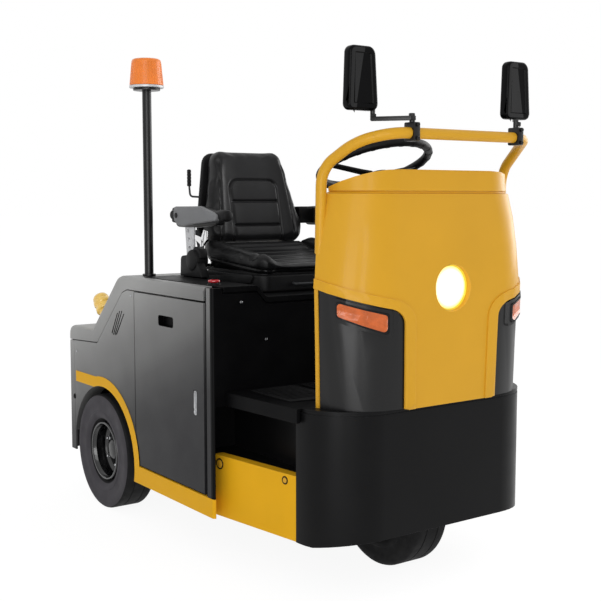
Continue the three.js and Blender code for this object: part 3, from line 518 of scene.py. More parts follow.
def surface(name, base, *, mottle_mm, mottle=0.06, grain_mm, grain_depth_mm, rough, rough_spread=0.06,
            grain="NOISE", wear=0.0, wear_colour="#8A8A88", **sockets):
    """Common build: cloudy colour variation, a fine grain in the relief, and roughness that wanders.
    base: a hex colour, a colour of the tractor's, or a function that draws one.
    grain: NOISE, CELLS, or the way that bands run.
    wear: share of lighter, rubbed edges. sockets: the shader's own settings."""
    material, tree, shader, place = new_material(name)
    for socket, value in sockets.items():
        shader.inputs[socket.replace("_", " ")].default_value = value
    clouds = add_node(tree, "ShaderNodeTexNoise", [("Vector", place), ("Scale", per_metre(mottle_mm)),
                                                   ("Detail", 4.0)]).outputs["Fac"]
    if callable(base):
        first, last, most = base(tree, place), (0, 0, 0, 1), mottle * 2
    else:
        first, last, most = shade(tone_of(base), 1 - mottle), shade(tone_of(base), 1 + mottle), 1.0
    share = add_node(tree, "ShaderNodeMapRange", enumerate((clouds, 0.3, 0.7, 0.0, most))).outputs[0]
    tinted = add_node(tree, "ShaderNodeMix", [(MIX_FACTOR, share), (MIX_FIRST, first), (MIX_SECOND, last)],
                      data_type="RGBA").outputs[MIXED]
    if wear:
        rim = add_node(tree, "ShaderNodeBevel", [("Radius", WORN_EDGE)], samples=4).outputs["Normal"]
        flat = add_node(tree, "ShaderNodeNewGeometry").outputs["Normal"]
        facing_same = add_node(tree, "ShaderNodeVectorMath", [(0, rim), (1, flat)],
                               operation="DOT_PRODUCT").outputs["Value"]
        edge = add_node(tree, "ShaderNodeMapRange",
                        enumerate((facing_same, 0.995, 0.93, 0.0, wear))).outputs[0]
        chips = add_node(tree, "ShaderNodeTexNoise", [("Vector", place), ("Scale", per_metre(CHIP_MM)),
                                                      ("Detail", 6.0)]).outputs["Fac"]
        chipped = add_node(tree, "ShaderNodeMapRange", enumerate((chips, 0.4, 0.62, 0.25, 1.0))).outputs[0]
        rubbed = add_node(tree, "ShaderNodeMath", enumerate((edge, chipped)), operation="MULTIPLY").outputs[0]
        tinted = add_node(tree, "ShaderNodeMix", [(MIX_FACTOR, rubbed), (MIX_FIRST, tinted),
                                                  (MIX_SECOND, linear(wear_colour))],
                          data_type="RGBA").outputs[MIXED]
    tree.links.new(tinted, shader.inputs["Base Color"])
    smudges = add_node(tree, "ShaderNodeTexNoise", [("Vector", place), ("Scale", per_metre(mottle_mm * 0.6)),
                                                    ("Detail", 3.0)]).outputs["Fac"]
    handled = add_node(tree, "ShaderNodeMapRange",
                       enumerate((smudges, 0.3, 0.7, rough - rough_spread, rough + rough_spread)))
    tree.links.new(handled.outputs[0], shader.inputs["Roughness"])
    if grain == "NOISE":
        relief = add_node(tree, "ShaderNodeTexNoise", [("Vector", place), ("Scale", per_metre(grain_mm)),
                                                       ("Detail", 3.0)]).outputs["Fac"]
    elif grain == "CELLS":
        relief = add_node(tree, "ShaderNodeTexVoronoi", [("Vector", place), ("Scale", per_metre(grain_mm))],
                          feature="DISTANCE_TO_EDGE").outputs["Distance"]
        relief = add_node(tree, "ShaderNodeMapRange", enumerate((relief, 0.0, 0.35, 0.0, 1.0))).outputs[0]
    else:
        relief = add_node(tree, "ShaderNodeTexWave", [("Vector", place),
                                                      ("Scale", per_metre(grain_mm) / WAVE_TURNS)],
                          bands_direction=grain).outputs["Fac"]
    bump = add_node(tree, "ShaderNodeBump", [("Height", relief), ("Distance", grain_depth_mm * MM),
                                             ("Strength", 1.0)])
    tree.links.new(bump.outputs["Normal"], shader.inputs["Normal"])
    return material


def body_fade(tree, place):
    """Painted shade on the body grey: lighter at the deck and the tail, darker towards the sill below the
    door.
    """
    split = add_node(tree, "ShaderNodeSeparateXYZ", [("Vector", place)])
    # Painted shade that lightens with height and with distance back towards the tail.
    along = (split.outputs["Y"], STEER_Y + 0.3, STEER_Y + 1.55, -0.09, 0.41)
    rearward = add_node(tree, "ShaderNodeMapRange", enumerate(along)).outputs[0]
    level = add_node(tree, "ShaderNodeMath", [(0, split.outputs["Z"]), (1, rearward)],
                     operation="ADD").outputs[0]
    height = add_node(tree, "ShaderNodeMapRange", enumerate((level, 0.3, 0.95, 0.0, 1.0))).outputs[0]
    ramp = add_node(tree, "ShaderNodeValToRGB", [("Fac", height)])
    low, high = colours().body_low[:], colours().body_high[:]
    stops = ramp.color_ramp.elements
    stops[0].color = low
    stops[1].color = high
    for stop, share in ((0.25, 0.03), (0.35, 0.09), (0.48, 0.2), (0.6, 0.4), (0.71, 0.5), (0.8, 0.63)):
        stops.new(stop).color = tuple(a + (b - a) * share for a, b in zip(low, high))
    return ramp.outputs["Color"]


def lit_lens(name):
    """Clear polycarbonate over a lit reflector: plain white in the middle, faint rings towards its rim."""
    material, tree, shader, place = new_material(name)
    middle = node_middle("headlight")
    centred = add_node(tree, "ShaderNodeMapping", [("Vector", place),
                                                   ("Location", (-middle.x, 0, -middle.z))])
    split = add_node(tree, "ShaderNodeSeparateXYZ", [("Vector", centred.outputs[0])])
    flat = add_node(tree, "ShaderNodeCombineXYZ", [("X", split.outputs["X"]), ("Y", split.outputs["Z"])])
    reach = add_node(tree, "ShaderNodeVectorMath", [(0, flat.outputs[0])],
                     operation="LENGTH").outputs["Value"]
    rings = add_node(tree, "ShaderNodeTexWave", [("Vector", flat.outputs[0]),
                                                 ("Scale", per_metre(7) / WAVE_TURNS)], wave_type="RINGS",
                     rings_direction="Z").outputs["Fac"]
    glow = add_node(tree, "ShaderNodeMapRange", enumerate((reach, 0.046, 0.062, 1.0, 0.8))).outputs[0]
    warm = add_node(tree, "ShaderNodeMapRange", enumerate((reach, 0.040, 0.060, 0.0, 1.0))).outputs[0]
    tone = add_node(tree, "ShaderNodeMix", [(MIX_FACTOR, warm), (MIX_FIRST, (1, 1, 1, 1)),
                                            (MIX_SECOND, linear("#F3DC93"))], data_type="RGBA").outputs[MIXED]
    tree.links.new(tone, shader.inputs["Base Color"])
    tree.links.new(tone, shader.inputs["Emission Color"])
    tree.links.new(glow, shader.inputs["Emission Strength"])
    shader.inputs["Roughness"].default_value = 0.12
    bump = add_node(tree, "ShaderNodeBump", [("Height", rings), ("Distance", 0.0006)])
    tree.links.new(bump.outputs["Normal"], shader.inputs["Normal"])
    return material


MATERIALS = {
    # Yellow two-pack enamel, sprayed and baked: an even gloss with a little orange peel, paler where rubbed.
    "yellow_enamel": dict(
        base="cowl", mottle_mm=260, mottle=0.035, grain_mm=2.6, grain_depth_mm=0.02, rough=0.36,
        wear=0.25, wear_colour="#EBCB7A", Coat_Weight=0.08, Coat_Roughness=0.12, Specular_IOR_Level=0.12,
    ),
    # The same enamel on the low bands, steps and fenders, lighter and more saturated: painted light; it keeps
    # its colour at a slant.
    "band_enamel": dict(
        base="#E6AC1E", mottle_mm=200, mottle=0.04, grain_mm=2.6, grain_depth_mm=0.02, rough=0.42,
        wear=0.25, wear_colour="#EBCB7A", Specular_IOR_Level=0.05,
    ),
    # Gloss enamel of the headlight's ring, paler than the cowl: painted light from the lamp, so it stays
    # clear against the cowl.
    "gloss_yellow_enamel": dict(
        base="#F7DC1E", mottle_mm=30, mottle=0.04, grain_mm=3, grain_depth_mm=0.01, rough=0.18,
        Coat_Weight=0.5, Specular_IOR_Level=0.4,
    ),
    # Grey enamel on sheet steel: satin, with painted shade that darkens it towards the sill and the wheels.
    "grey_enamel": dict(
        base=body_fade, mottle_mm=180, mottle=0.03, grain_mm=2.2, grain_depth_mm=0.02, rough=0.42,
        wear=0.2, wear_colour="#8E8E8E", Metallic=0.1, Specular_IOR_Level=0.12,
    ),
    # Black powder coat: satin, finely pebbled, with paler rubbed edges.
    "black_powder_coat": dict(
        base="black", mottle_mm=150, mottle=0.10, grain_mm=1.6, grain_depth_mm=0.02, rough=0.36, wear=0.2,
        wear_colour="#4A4A4C", Specular_IOR_Level=0.1,
    ),
    # Black enamel of the cowl's corner panels, the mirrors' arms and the mast: wet-looking, so that it takes
    # the light of the studio.
    "black_enamel": dict(
        base="#0C0C0D", mottle_mm=200, mottle=0.05, grain_mm=2.4, grain_depth_mm=0.015, rough=0.3,
        rough_spread=0.04, Specular_IOR_Level=0.3,
    ),
    # The same powder coat where it lies in shade, made nearly black with painted shade.
    "sheltered_powder_coat": dict(
        base="#060607", mottle_mm=120, mottle=0.16, grain_mm=1.6, grain_depth_mm=0.03, rough=0.46,
        wear=0.25, wear_colour="#2E2E30", Specular_IOR_Level=0.06,
    ),
    # Phosphated and painted steel under the body: dull, uneven, dusty.
    "painted_steel": dict(
        base="#2C2D2F", mottle_mm=60, mottle=0.22, grain_mm=1.2, grain_depth_mm=0.08, rough=0.55,
        rough_spread=0.12, wear=0.4, wear_colour="#77787A", Metallic=0.3, Specular_IOR_Level=0.3,
    ),
    # Gloss black enamel of the wheels, sprayed and dusty: the studio's light stands in it as short glints.
    "wheel_enamel": dict(
        base="#08080A", mottle_mm=40, mottle=0.2, grain_mm=3, grain_depth_mm=0.05, rough=0.22,
        rough_spread=0.08, Coat_Weight=0.25, Coat_Roughness=0.08, Specular_IOR_Level=0.5,
    ),
    # Cured tyre rubber: matt, slightly blooming, with fine pores; on the treads its near-black is partly
    # painted shade.
    "cured_rubber": dict(
        base="rubber", mottle_mm=45, mottle=0.16, grain_mm=1.4, grain_depth_mm=0.12, rough=0.78,
        rough_spread=0.08, Specular_IOR_Level=0.2,
    ),
    # The same rubber on the rear sidewalls, greyed partly by bloom and road dust and partly by painted light.
    "bloomed_rubber": dict(
        base="#434145", mottle_mm=70, mottle=0.14, grain_mm=1.4, grain_depth_mm=0.08, rough=0.7,
        rough_spread=0.08, Specular_IOR_Level=0.15,
    ),
    # Vinyl on foam: embossed leather grain, a soft satin sheen that varies where it is sat on.
    "grained_vinyl": dict(
        base="vinyl", mottle_mm=90, mottle=0.12, grain_mm=3.2, grain_depth_mm=0.07, rough=0.34,
        rough_spread=0.06, grain="CELLS", Specular_IOR_Level=0.18,
    ),
    # The cushion's vinyl, darker than the back's: painted shade on the cushion.
    "worn_vinyl": dict(
        base="#0E0E0F", mottle_mm=110, mottle=0.18, grain_mm=3.2, grain_depth_mm=0.06, rough=0.36,
        rough_spread=0.08, grain="CELLS", Specular_IOR_Level=0.16,
    ),
    # Moulded ABS with a spark-eroded texture: dark and dry-looking.
    "textured_abs": dict(
        base="#131314", mottle_mm=120, mottle=0.08, grain_mm=1.1, grain_depth_mm=0.04, rough=0.48,
        Specular_IOR_Level=0.14,
    ),
    # Polished moulded plastic of the mirrors: glossy black that shows soft reflections.
    "gloss_abs": dict(
        base="#040405", mottle_mm=200, mottle=0.05, grain_mm=6, grain_depth_mm=0.01, rough=0.22,
        rough_spread=0.03, Specular_IOR_Level=0.07,
    ),
    # Grey moulded housing of the armrests: satin, finely grained.
    "grey_abs": dict(
        base="#737476", mottle_mm=90, mottle=0.06, grain_mm=1.2, grain_depth_mm=0.05, rough=0.48,
        Specular_IOR_Level=0.35,
    ),
    # Chromed steel: bright, with faint polishing marks.
    "chromed_steel": dict(
        base="#E3E3E4", mottle_mm=80, mottle=0.03, grain_mm=0.9, grain_depth_mm=0.004, rough=0.14,
        rough_spread=0.05, Metallic=1.0,
    ),
    # Zinc-plated fasteners and latches: dull bright metal.
    "zinc_plate": dict(
        base="#A9AAAC", mottle_mm=18, mottle=0.12, grain_mm=0.8, grain_depth_mm=0.03, rough=0.34,
        Metallic=1.0,
    ),
    # Silvered glass of the rear-view mirrors: clear, nearly colourless reflections.
    "mirror_glass": dict(
        base="#D8DCDD", mottle_mm=150, mottle=0.01, grain_mm=9, grain_depth_mm=0.002, rough=0.05,
        rough_spread=0.02, Metallic=1.0,
    ),
    # Amber polycarbonate, moulded with slanting prisms that catch the light in stripes.
    "amber_prisms": dict(
        base="signal", mottle_mm=24, mottle=0.16, grain_mm=4.2, grain_depth_mm=0.5, rough=0.24,
        grain="DIAGONAL", Coat_Weight=0.3, Coat_Roughness=0.08, Specular_IOR_Level=0.3,
    ),
    # Orange polycarbonate of the beacon, fluted up and down: satin with a deeper tone in its folds.
    "orange_polycarbonate": dict(
        base="beacon", mottle_mm=35, mottle=0.07, grain_mm=3.0, grain_depth_mm=0.02, rough=0.3,
        Coat_Weight=0.15, Specular_IOR_Level=0.25,
    ),
    # Yellow-amber polycarbonate of the rear lamps and the battery's vent plugs: pale, warm and glossy.
    "yellow_polycarbonate": dict(
        base="#FACC5C", mottle_mm=20, mottle=0.1, grain_mm=2.5, grain_depth_mm=0.03, rough=0.2,
        Coat_Weight=0.8, Coat_Roughness=0.08,
    ),
    # Red push buttons: gloss moulded plastic.
    "red_gloss": dict(
        base="#C0202A", mottle_mm=20, mottle=0.06, grain_mm=3, grain_depth_mm=0.01, rough=0.25,
        Coat_Weight=0.4,
    ),
    # Plain rubber of pedals, mats and grommets: nearly matt, with a fine grain.
    "mat_rubber": dict(
        base="#0C0C0D", mottle_mm=50, mottle=0.14, grain_mm=1.6, grain_depth_mm=0.06, rough=0.62,
        Specular_IOR_Level=0.1,
    ),
    # Pale painted steel of small brackets and the beacon's foot: an even satin.
    "pale_steel": dict(
        base="#C9CACC", mottle_mm=40, mottle=0.08, grain_mm=1.5, grain_depth_mm=0.03, rough=0.42,
        Metallic=0.25,
    ),
    # Seat-belt webbing: a fine twill across the band.
    "woven_webbing": dict(
        base="#202022", mottle_mm=12, mottle=0.12, grain_mm=1.4, grain_depth_mm=0.25, rough=0.72,
        grain="DIAGONAL", Specular_IOR_Level=0.25,
    ),
    # Clear moulded polycarbonate of the headlight over its lit reflector: a plain white disc with a warm rim.
    "lit_polycarbonate": lit_lens,
}


def finish_of(name):
    """The named material, made when it is first asked for."""
    made = bpy.data.materials.get(name)
    if made is None:
        look = MATERIALS[name]
        made = look(name) if callable(look) else surface(name, **look)
    return made


# ---------------------------------------------------------------- pieces


class TractorOperator:
    """What every operator of the tractor shares."""

    bl_options = {"REGISTER", "UNDO"}


CHASSIS = "chassis"

# piece, CAD node, body, finish, slot, edge radius as a share of the panel edge
PANELS = [
    ("cowl", "front_cowl", CHASSIS, "yellow_enamel", "yellow_paint", 0.9),
    ("cowl_corner_panel_left", "cowl_corner_left", CHASSIS, "black_enamel", "black_paint", 0.6),
    ("cowl_corner_panel_right", "cowl_corner_right", CHASSIS, "black_enamel", "black_paint", 0.6),
    ("rear_body_cover", "rear_cover", CHASSIS, "grey_enamel", "grey_paint", 1.0),
    ("wheel_side_panel_left", "side_panel_left", CHASSIS, "grey_enamel", "grey_paint", 0.6),
    ("wheel_side_panel_right", "side_panel_right", CHASSIS, "grey_enamel", "grey_paint", 0.6),
    ("tail_panel", "rear_panel", CHASSIS, "grey_enamel", "grey_paint", 1.0),
    ("door_panel_left", "battery_door_left", "door_left", "grey_enamel", "grey_paint", 0.7),
    ("door_panel_right", "battery_door_right", "door_right", "grey_enamel", "grey_paint", 0.7),
    # The fenders' bands and the steps take the lighter yellow as painted light.
    ("fender_band_left", "fender_trim_left", CHASSIS, "band_enamel", "yellow_paint", 0.4),
    ("fender_band_right", "fender_trim_right", CHASSIS, "band_enamel", "yellow_paint", 0.4),
    ("step_side_left", "step_panel_left", CHASSIS, "band_enamel", "yellow_paint", 0.5),
    ("step_side_right", "step_panel_right", CHASSIS, "band_enamel", "yellow_paint", 0.5),
    ("bumper", "front_bumper", CHASSIS, "black_powder_coat", "black_paint", 1.1),
    # Painted shade: the floor, the seat box and the battery lid take the nearly black copy of the powder
    # coat.
    ("driver_floor", "floor_plate", CHASSIS, "sheltered_powder_coat", "black_paint", 0.9),
    ("seat_box_frame", "seat_box", CHASSIS, "sheltered_powder_coat", "black_paint", 0.8),
    ("battery_lid", "seat_deck", "seat_lid", "sheltered_powder_coat", "black_paint", 0.7),
    ("axle_beam", "rear_axle", CHASSIS, "painted_steel", "frame_steel", 1.0),
    ("wheel_fork", "front_fork", "front_yoke", "painted_steel", "frame_steel", 0.9),
    ("seat_pan", "seat_base", "seat_lid", "textured_abs", "black_plastic", 1.0),
    ("seat_back_shell", "seat_shell", "seat_lid", "textured_abs", "black_plastic", 1.0),
    ("column_sleeve", "steering_column", CHASSIS, "textured_abs", "black_plastic", 1.0),
    ("dash_panel", "dashboard", CHASSIS, "textured_abs", "black_plastic", 1.0),
    ("mast_pole", "beacon_mast", CHASSIS, "black_enamel", "black_paint", 0.6),
    ("hitch_jaws", "tow_coupling", CHASSIS, "painted_steel", "frame_steel", 0.9),
    ("hitch_pin", "coupling_pin", CHASSIS, "zinc_plate", "bright_metal", 0.6),
]


SHELL_SPREAD = (1.02, 1, 1.04)  # share by which the seat's back shell is drawn out past its swollen pad
POST_STRIP = 272  # from here rearwards the outside of the corner posts is grey
HAND_POCKET = (498, 608, 718, 763)  # pressed into each door: from, to, low, high
LOUVRES = (848, 955, 652, 752)  # in each side panel: from, to, low, high

# Outlines on the cowl's corner as (along, up, radius): the raised band, and the opening that it goes round
RAISED_BAND = [(-260, 480), (86, 480), (86, 848, 72), (-260, 932)]
CORNER_OPENING = [(-260, 480), (58.5, 480), (58.5, 826.5, 46), (-260, 904)]


def within(centre, first, last, low, high):
    """Whether a place lies between two distances from the steering axis and two heights."""
    return at(0, first, 0).y < centre.y < at(0, last, 0).y and low * MM < centre.z < high * MM


def post_face(centre, normal):
    """The outer strip of the corner posts."""
    return abs(centre.x) > 0.4905 and abs(normal.x) > 0.35 and centre.y > at(0, POST_STRIP, 0).y


def pocket_face(centre, normal):
    """The hand pocket of a door, which lies deeper than the door's outside."""
    return abs(centre.x) < 0.4935 and within(centre, *HAND_POCKET)


def louvre_face(centre, normal):
    """The walls of the louvres, which don't look straight out."""
    return abs(normal.x) < 0.95 and within(centre, *LOUVRES)


# CAD node, second finish, and the faces that take it
# Painted shade: the doors' hand pockets and the louvres' walls take the nearly black coat in their recesses.
PARTLY = [
    ("seat_box", "grey_enamel", post_face),
    ("battery_door", "sheltered_powder_coat", pocket_face),
    ("side_panel", "sheltered_powder_coat", louvre_face),
]


class TRACTOR_OT_panels(TractorOperator, bpy.types.Operator):
    """Body panels, floor and other sheet metal with rounded edges and their paint, and the cowl's bands"""

    bl_idname = "tractor.panels"
    bl_label = "Panels"

    def execute(self, context):
        for name, node, body, finish, slot, share in PANELS:
            piece = cad_copy(node, name, edge=sizes().panel_edge * share)
            if node == "seat_shell":
                with editing(piece):
                    bpy.ops.transform.resize(value=SHELL_SPREAD, center_override=at(0, 809, 898))
            finished(piece, body, finish, slot, node)
            for second_node, second_finish, wanted in PARTLY:
                if node.startswith(second_node):
                    if node == "seat_box":
                        with editing(piece):
                            bpy.ops.mesh.bisect(plane_co=at(0, POST_STRIP, 0), plane_no=(0, 1, 0))
                    second(piece, second_finish, wanted)
            modify(piece, "WEIGHTED_NORMAL", keep_sharp=True, weight=80)
        for side, sign in SIDES:
            self.cowl_lip(side, sign)
        return {"FINISHED"}

    @staticmethod
    def cowl_lip(side, sign):
        """The soft raised band that the cowl's skin makes round the opening of its corner panel."""
        lip = cad_copy("front_cowl", f"cowl_lip_{side}")
        out = Vector((sign, -1, 0)).normalized()
        with editing(lip):
            pick(lip, "FACE", lambda centre, normal: normal.dot(out) < 0.3 or abs(normal.z) > 0.5)
            bpy.ops.mesh.delete(type="FACE")
        in_band = scored(lip, sign, rounded(RAISED_BAND, 6))
        in_opening = scored(lip, sign, rounded(CORNER_OPENING, 6))
        with editing(lip):
            pick(lip, "FACE", lambda centre, normal: not in_band(centre) or in_opening(centre))
            bpy.ops.mesh.delete(type="FACE")
        modify(lip, "SOLIDIFY", thickness=0.006, offset=0.35, use_even_offset=True)
        modify(lip, "BEVEL", width=0.0036, segments=4, limit_method="ANGLE", angle_limit=math.radians(50))
        finished(lip, CHASSIS, "yellow_enamel", "yellow_paint")


class TRACTOR_OT_tyres(TractorOperator, bpy.types.Operator):
    """Solid tyres: bead, ribbed sidewall, square shoulders and shallow grooves round the tread"""

    bl_idname = "tractor.tyres"
    bl_label = "Tyres"

    def execute(self, context):
        for node, body in (("front_tyre", "front_wheel"), ("rear_tyre_left", "rear_wheel_left"),
                           ("rear_tyre_right", "rear_wheel_right")):
            low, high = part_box(node)
            radius, half = (high.z - low.z) / 2 / MM, (high.x - low.x) / 2 / MM
            piece = self.tyre(node.replace("tyre", "wheel_tyre"), node, radius, half)
            finished(piece, body, "cured_rubber", "tyre_rubber", node)
            hub = node_middle(node)
            # Painted light and shade: the rear tyres' sidewalls take a lighter rubber than their dark tread.
            if node != "front_tyre":
                second(piece, "bloomed_rubber", lambda centre, normal:
                       math.hypot(centre.y - hub.y, centre.z - hub.z) < (radius - 7) * MM
                       and abs(centre.x - hub.x) > (half - 14) * MM)
        return {"FINISHED"}

    def tyre(self, name, node, radius, half):
        bead = 105.3 if node == "front_tyre" else 108.3
        side = [(bead, half - 26), (bead + 5, half - 20), (bead + 12, half - 11), (bead + 19, half - 4),
                (bead + 25, half - 1), (bead + 29, half), (bead + 36, half), (bead + 39, half - 1.8),
                (radius - 34, half - 1.4), (radius - 31, half), (radius - 16, half),
                (radius - 10, half - 0.8), (radius - 5, half - 3), (radius - 1.6, half - 7),
                (radius, half - 12), (radius, half - 25)]
        depth, width = sizes().tread_depth / MM, sizes().tread_width / MM
        tread = []
        for middle in (22, -22):
            tread += [(radius, middle + width / 2), (radius - depth, middle + width / 2 - 1),
                      (radius - depth, middle - width / 2 + 1), (radius, middle - width / 2)]
        profile = side + tread + [(r, -along) for r, along in reversed(side)]
        return spun(name, profile + profile[:1], facing(node_middle(node), (1, 0, 0)), sides=96)


RIM_WIDTH = 100
WHEEL_BOLTS = 5  # on each wheel, with a round window between every two


class TRACTOR_OT_rims(TractorOperator, bpy.types.Operator):
    """Steel wheels: a rolled rim, a dished disc with windows, hub and bolts"""

    bl_idname = "tractor.rims"
    bl_label = "Wheels"

    def execute(self, context):
        for node, body, outer in (
            ("rear_rim_left", "rear_wheel_left", 1),
            ("rear_rim_right", "rear_wheel_right", -1),
            ("front_rim", "front_wheel", 1),
        ):
            frame_of = facing(node_middle(node.replace("rim", "tyre")), (outer, 0, 0))
            steered = node == "front_rim"
            radius = 104.6 if steered else 107.6
            half = RIM_WIDTH / 2
            wheel = self.rolled_rim(node, radius, half, steered, frame_of)
            finished(wheel, body, "wheel_enamel", "rim_steel", node)
            lip = spun(node + "_bead_edge", [(radius - 0.5, half - 1.5), (radius - 2.5, half + 0.6),
                                             (radius - 6.5, half + 0.6), (radius - 8.5, half - 2),
                                             (radius - 6, half - 4), (radius - 2, half - 4),
                                             (radius - 0.5, half - 1.5)], frame_of, 72)
            finished(lip, body, "wheel_enamel", "rim_steel")
            bolts = self.bolts(node, frame_of, WHEEL_BOLTS, 62 if steered else 58, -3 if steered else 2)
            finished(bolts, body, "zinc_plate", "bright_metal")
        return {"FINISHED"}

    def rolled_rim(self, node, radius, half, steered, frame_of):
        disc = -9 if steered else -4
        bore = 13 if steered else 0
        face = [(30, disc + 26), (36, disc + 22), (40, disc + 6), (48, disc + 2), (72, disc + 2),
                (80, disc - 4), (88, disc - 6), (radius - 12, disc + 4), (radius - 12, half - 14),
                (radius - 8, half - 8), (radius - 6, half - 2), (radius - 2, half), (radius, half - 3),
                (radius, 3 - half), (radius - 2, -half), (radius - 6, 2 - half), (radius - 9, 10 - half),
                (radius - 12, 16 - half), (radius - 12, disc - 10), (86, disc - 12), (36, disc - 8)]
        if bore:
            profile = [(bore, disc + 26), *face, (bore, disc - 8), (bore, disc + 26)]
        else:
            profile = [(0, disc + 30), (22, disc + 29), *face, (0, disc - 8)]
        piece = spun(node + "_wheel", profile, frame_of, 60)
        for k in range(WHEEL_BOLTS):
            turn = Matrix.Rotation(2 * math.pi * (k + 0.5) / WHEEL_BOLTS, 4, "Z")
            window = spun("window", [(0, -30), (8.5, -30), (8.5, 30), (0, 30)],
                          frame_of @ turn @ Matrix.Translation((0.076, 0, disc * MM)), 20)
            carved(piece, window)
        return piece

    def bolts(self, node, frame_of, count, ring, seat):
        parts = []
        for k in range(count):
            turn = Matrix.Rotation(2 * math.pi * k / count, 4, "Z")
            place = frame_of @ turn @ Matrix.Translation((ring * MM, 0, seat * MM - 0.006))
            nut = spun("nut", [(0, 0), (10, 0), (10, 11), (8.2, 13), (0, 13)], place, 6)
            stud = spun("stud", [(0, 12), (5.4, 12), (5.4, 19), (4.4, 20.5), (0, 20.5)], place, 14)
            parts += [nut, stud]
        return joined(node + "_bolts", *parts)


def ring_frame():
    """The steering wheel's frame: its middle, turned to the column."""
    tilt = math.radians(21.5)
    return Matrix.Translation(at(0, 96, 1243.5)) @ Matrix.Rotation(-tilt, 4, "X")


RING_SECTORS = 96  # round the steering wheel; every fourth is a finger rib


class TRACTOR_OT_steering_wheel(TractorOperator, bpy.types.Operator):
    """Steering wheel: a round moulded ring with finger ribs below, three spokes and a hub"""

    bl_idname = "tractor.steering_wheel"
    bl_label = "Steering wheel"

    def execute(self, context):
        bpy.ops.object.select_all(action="DESELECT")
        bpy.ops.mesh.primitive_torus_add(major_radius=0.173, minor_radius=0.0134,
                                         major_segments=RING_SECTORS, minor_segments=18)
        ring = settle(named("steering_ring"))
        middle = Vector((0, 0, 0))
        with editing(ring):
            pick(ring, "FACE", lambda centre, normal: centre.z < -0.004
                 and sector(centre, middle, RING_SECTORS) % 4 == 0)
            bpy.ops.mesh.extrude_region_shrink_fatten(TRANSFORM_OT_shrink_fatten={"value": 0.0009})
        parts = [ring]
        for degrees in (0, 90, 180):
            spoke = slab("spoke", "z", [(22, -17, 5), (60, -13, 8), (166, -11, 3), (166, 11, 3), (60, 13, 8),
                                        (22, 17, 5)], -9, -1, edge=2.5)
            # drooped by 10.5 degrees from its outer end, then turned to its place in the ring
            droop = (Matrix.Translation((0.166, 0, -0.005)) @ Matrix.Rotation(-math.radians(10.5), 4, "Y")
                     @ Matrix.Translation(-at(166, 0, -5)))
            parts.append(placed(spoke, Matrix.Rotation(math.radians(degrees), 4, "Z") @ droop))
        hub = spun("hub", [(31, -66), (36, -61), (44, -48), (44, -38), (39, -33), (30, -30.4), (29, -31.2),
                           (0, -29), (0, -37), (31, -41), (31, -66)], Matrix.Identity(4), 48)
        wheel = placed(joined("steering_wheel_rim", *parts, hub), ring_frame())
        finished(wheel, "steering_wheel", "textured_abs", "black_plastic", "steering_wheel")
        return {"FINISHED"}


class TRACTOR_OT_handrail(TractorOperator, bpy.types.Operator):
    """Bent tube in front of the driver"""

    bl_idname = "tractor.handrail"
    bl_label = "Handrail"

    def execute(self, context):
        leg = [(356, -101, 985), (356, -106, 1222), (318, -212, 1294), (254, -295, 1316)]
        path = leg + [(-x, y, z) for x, y, z in reversed(leg)]
        rail = pipe("handrail_tube", path, 15.5, bend=46, sides=7)
        finished(rail, CHASSIS, "yellow_enamel", "yellow_paint", "handrail")
        return {"FINISHED"}


# Side, and how far left of the middle its clamp, its stem and its head stand
MIRRORS = [("left", 214, 305, 303), ("right", -190, -258, -300)]


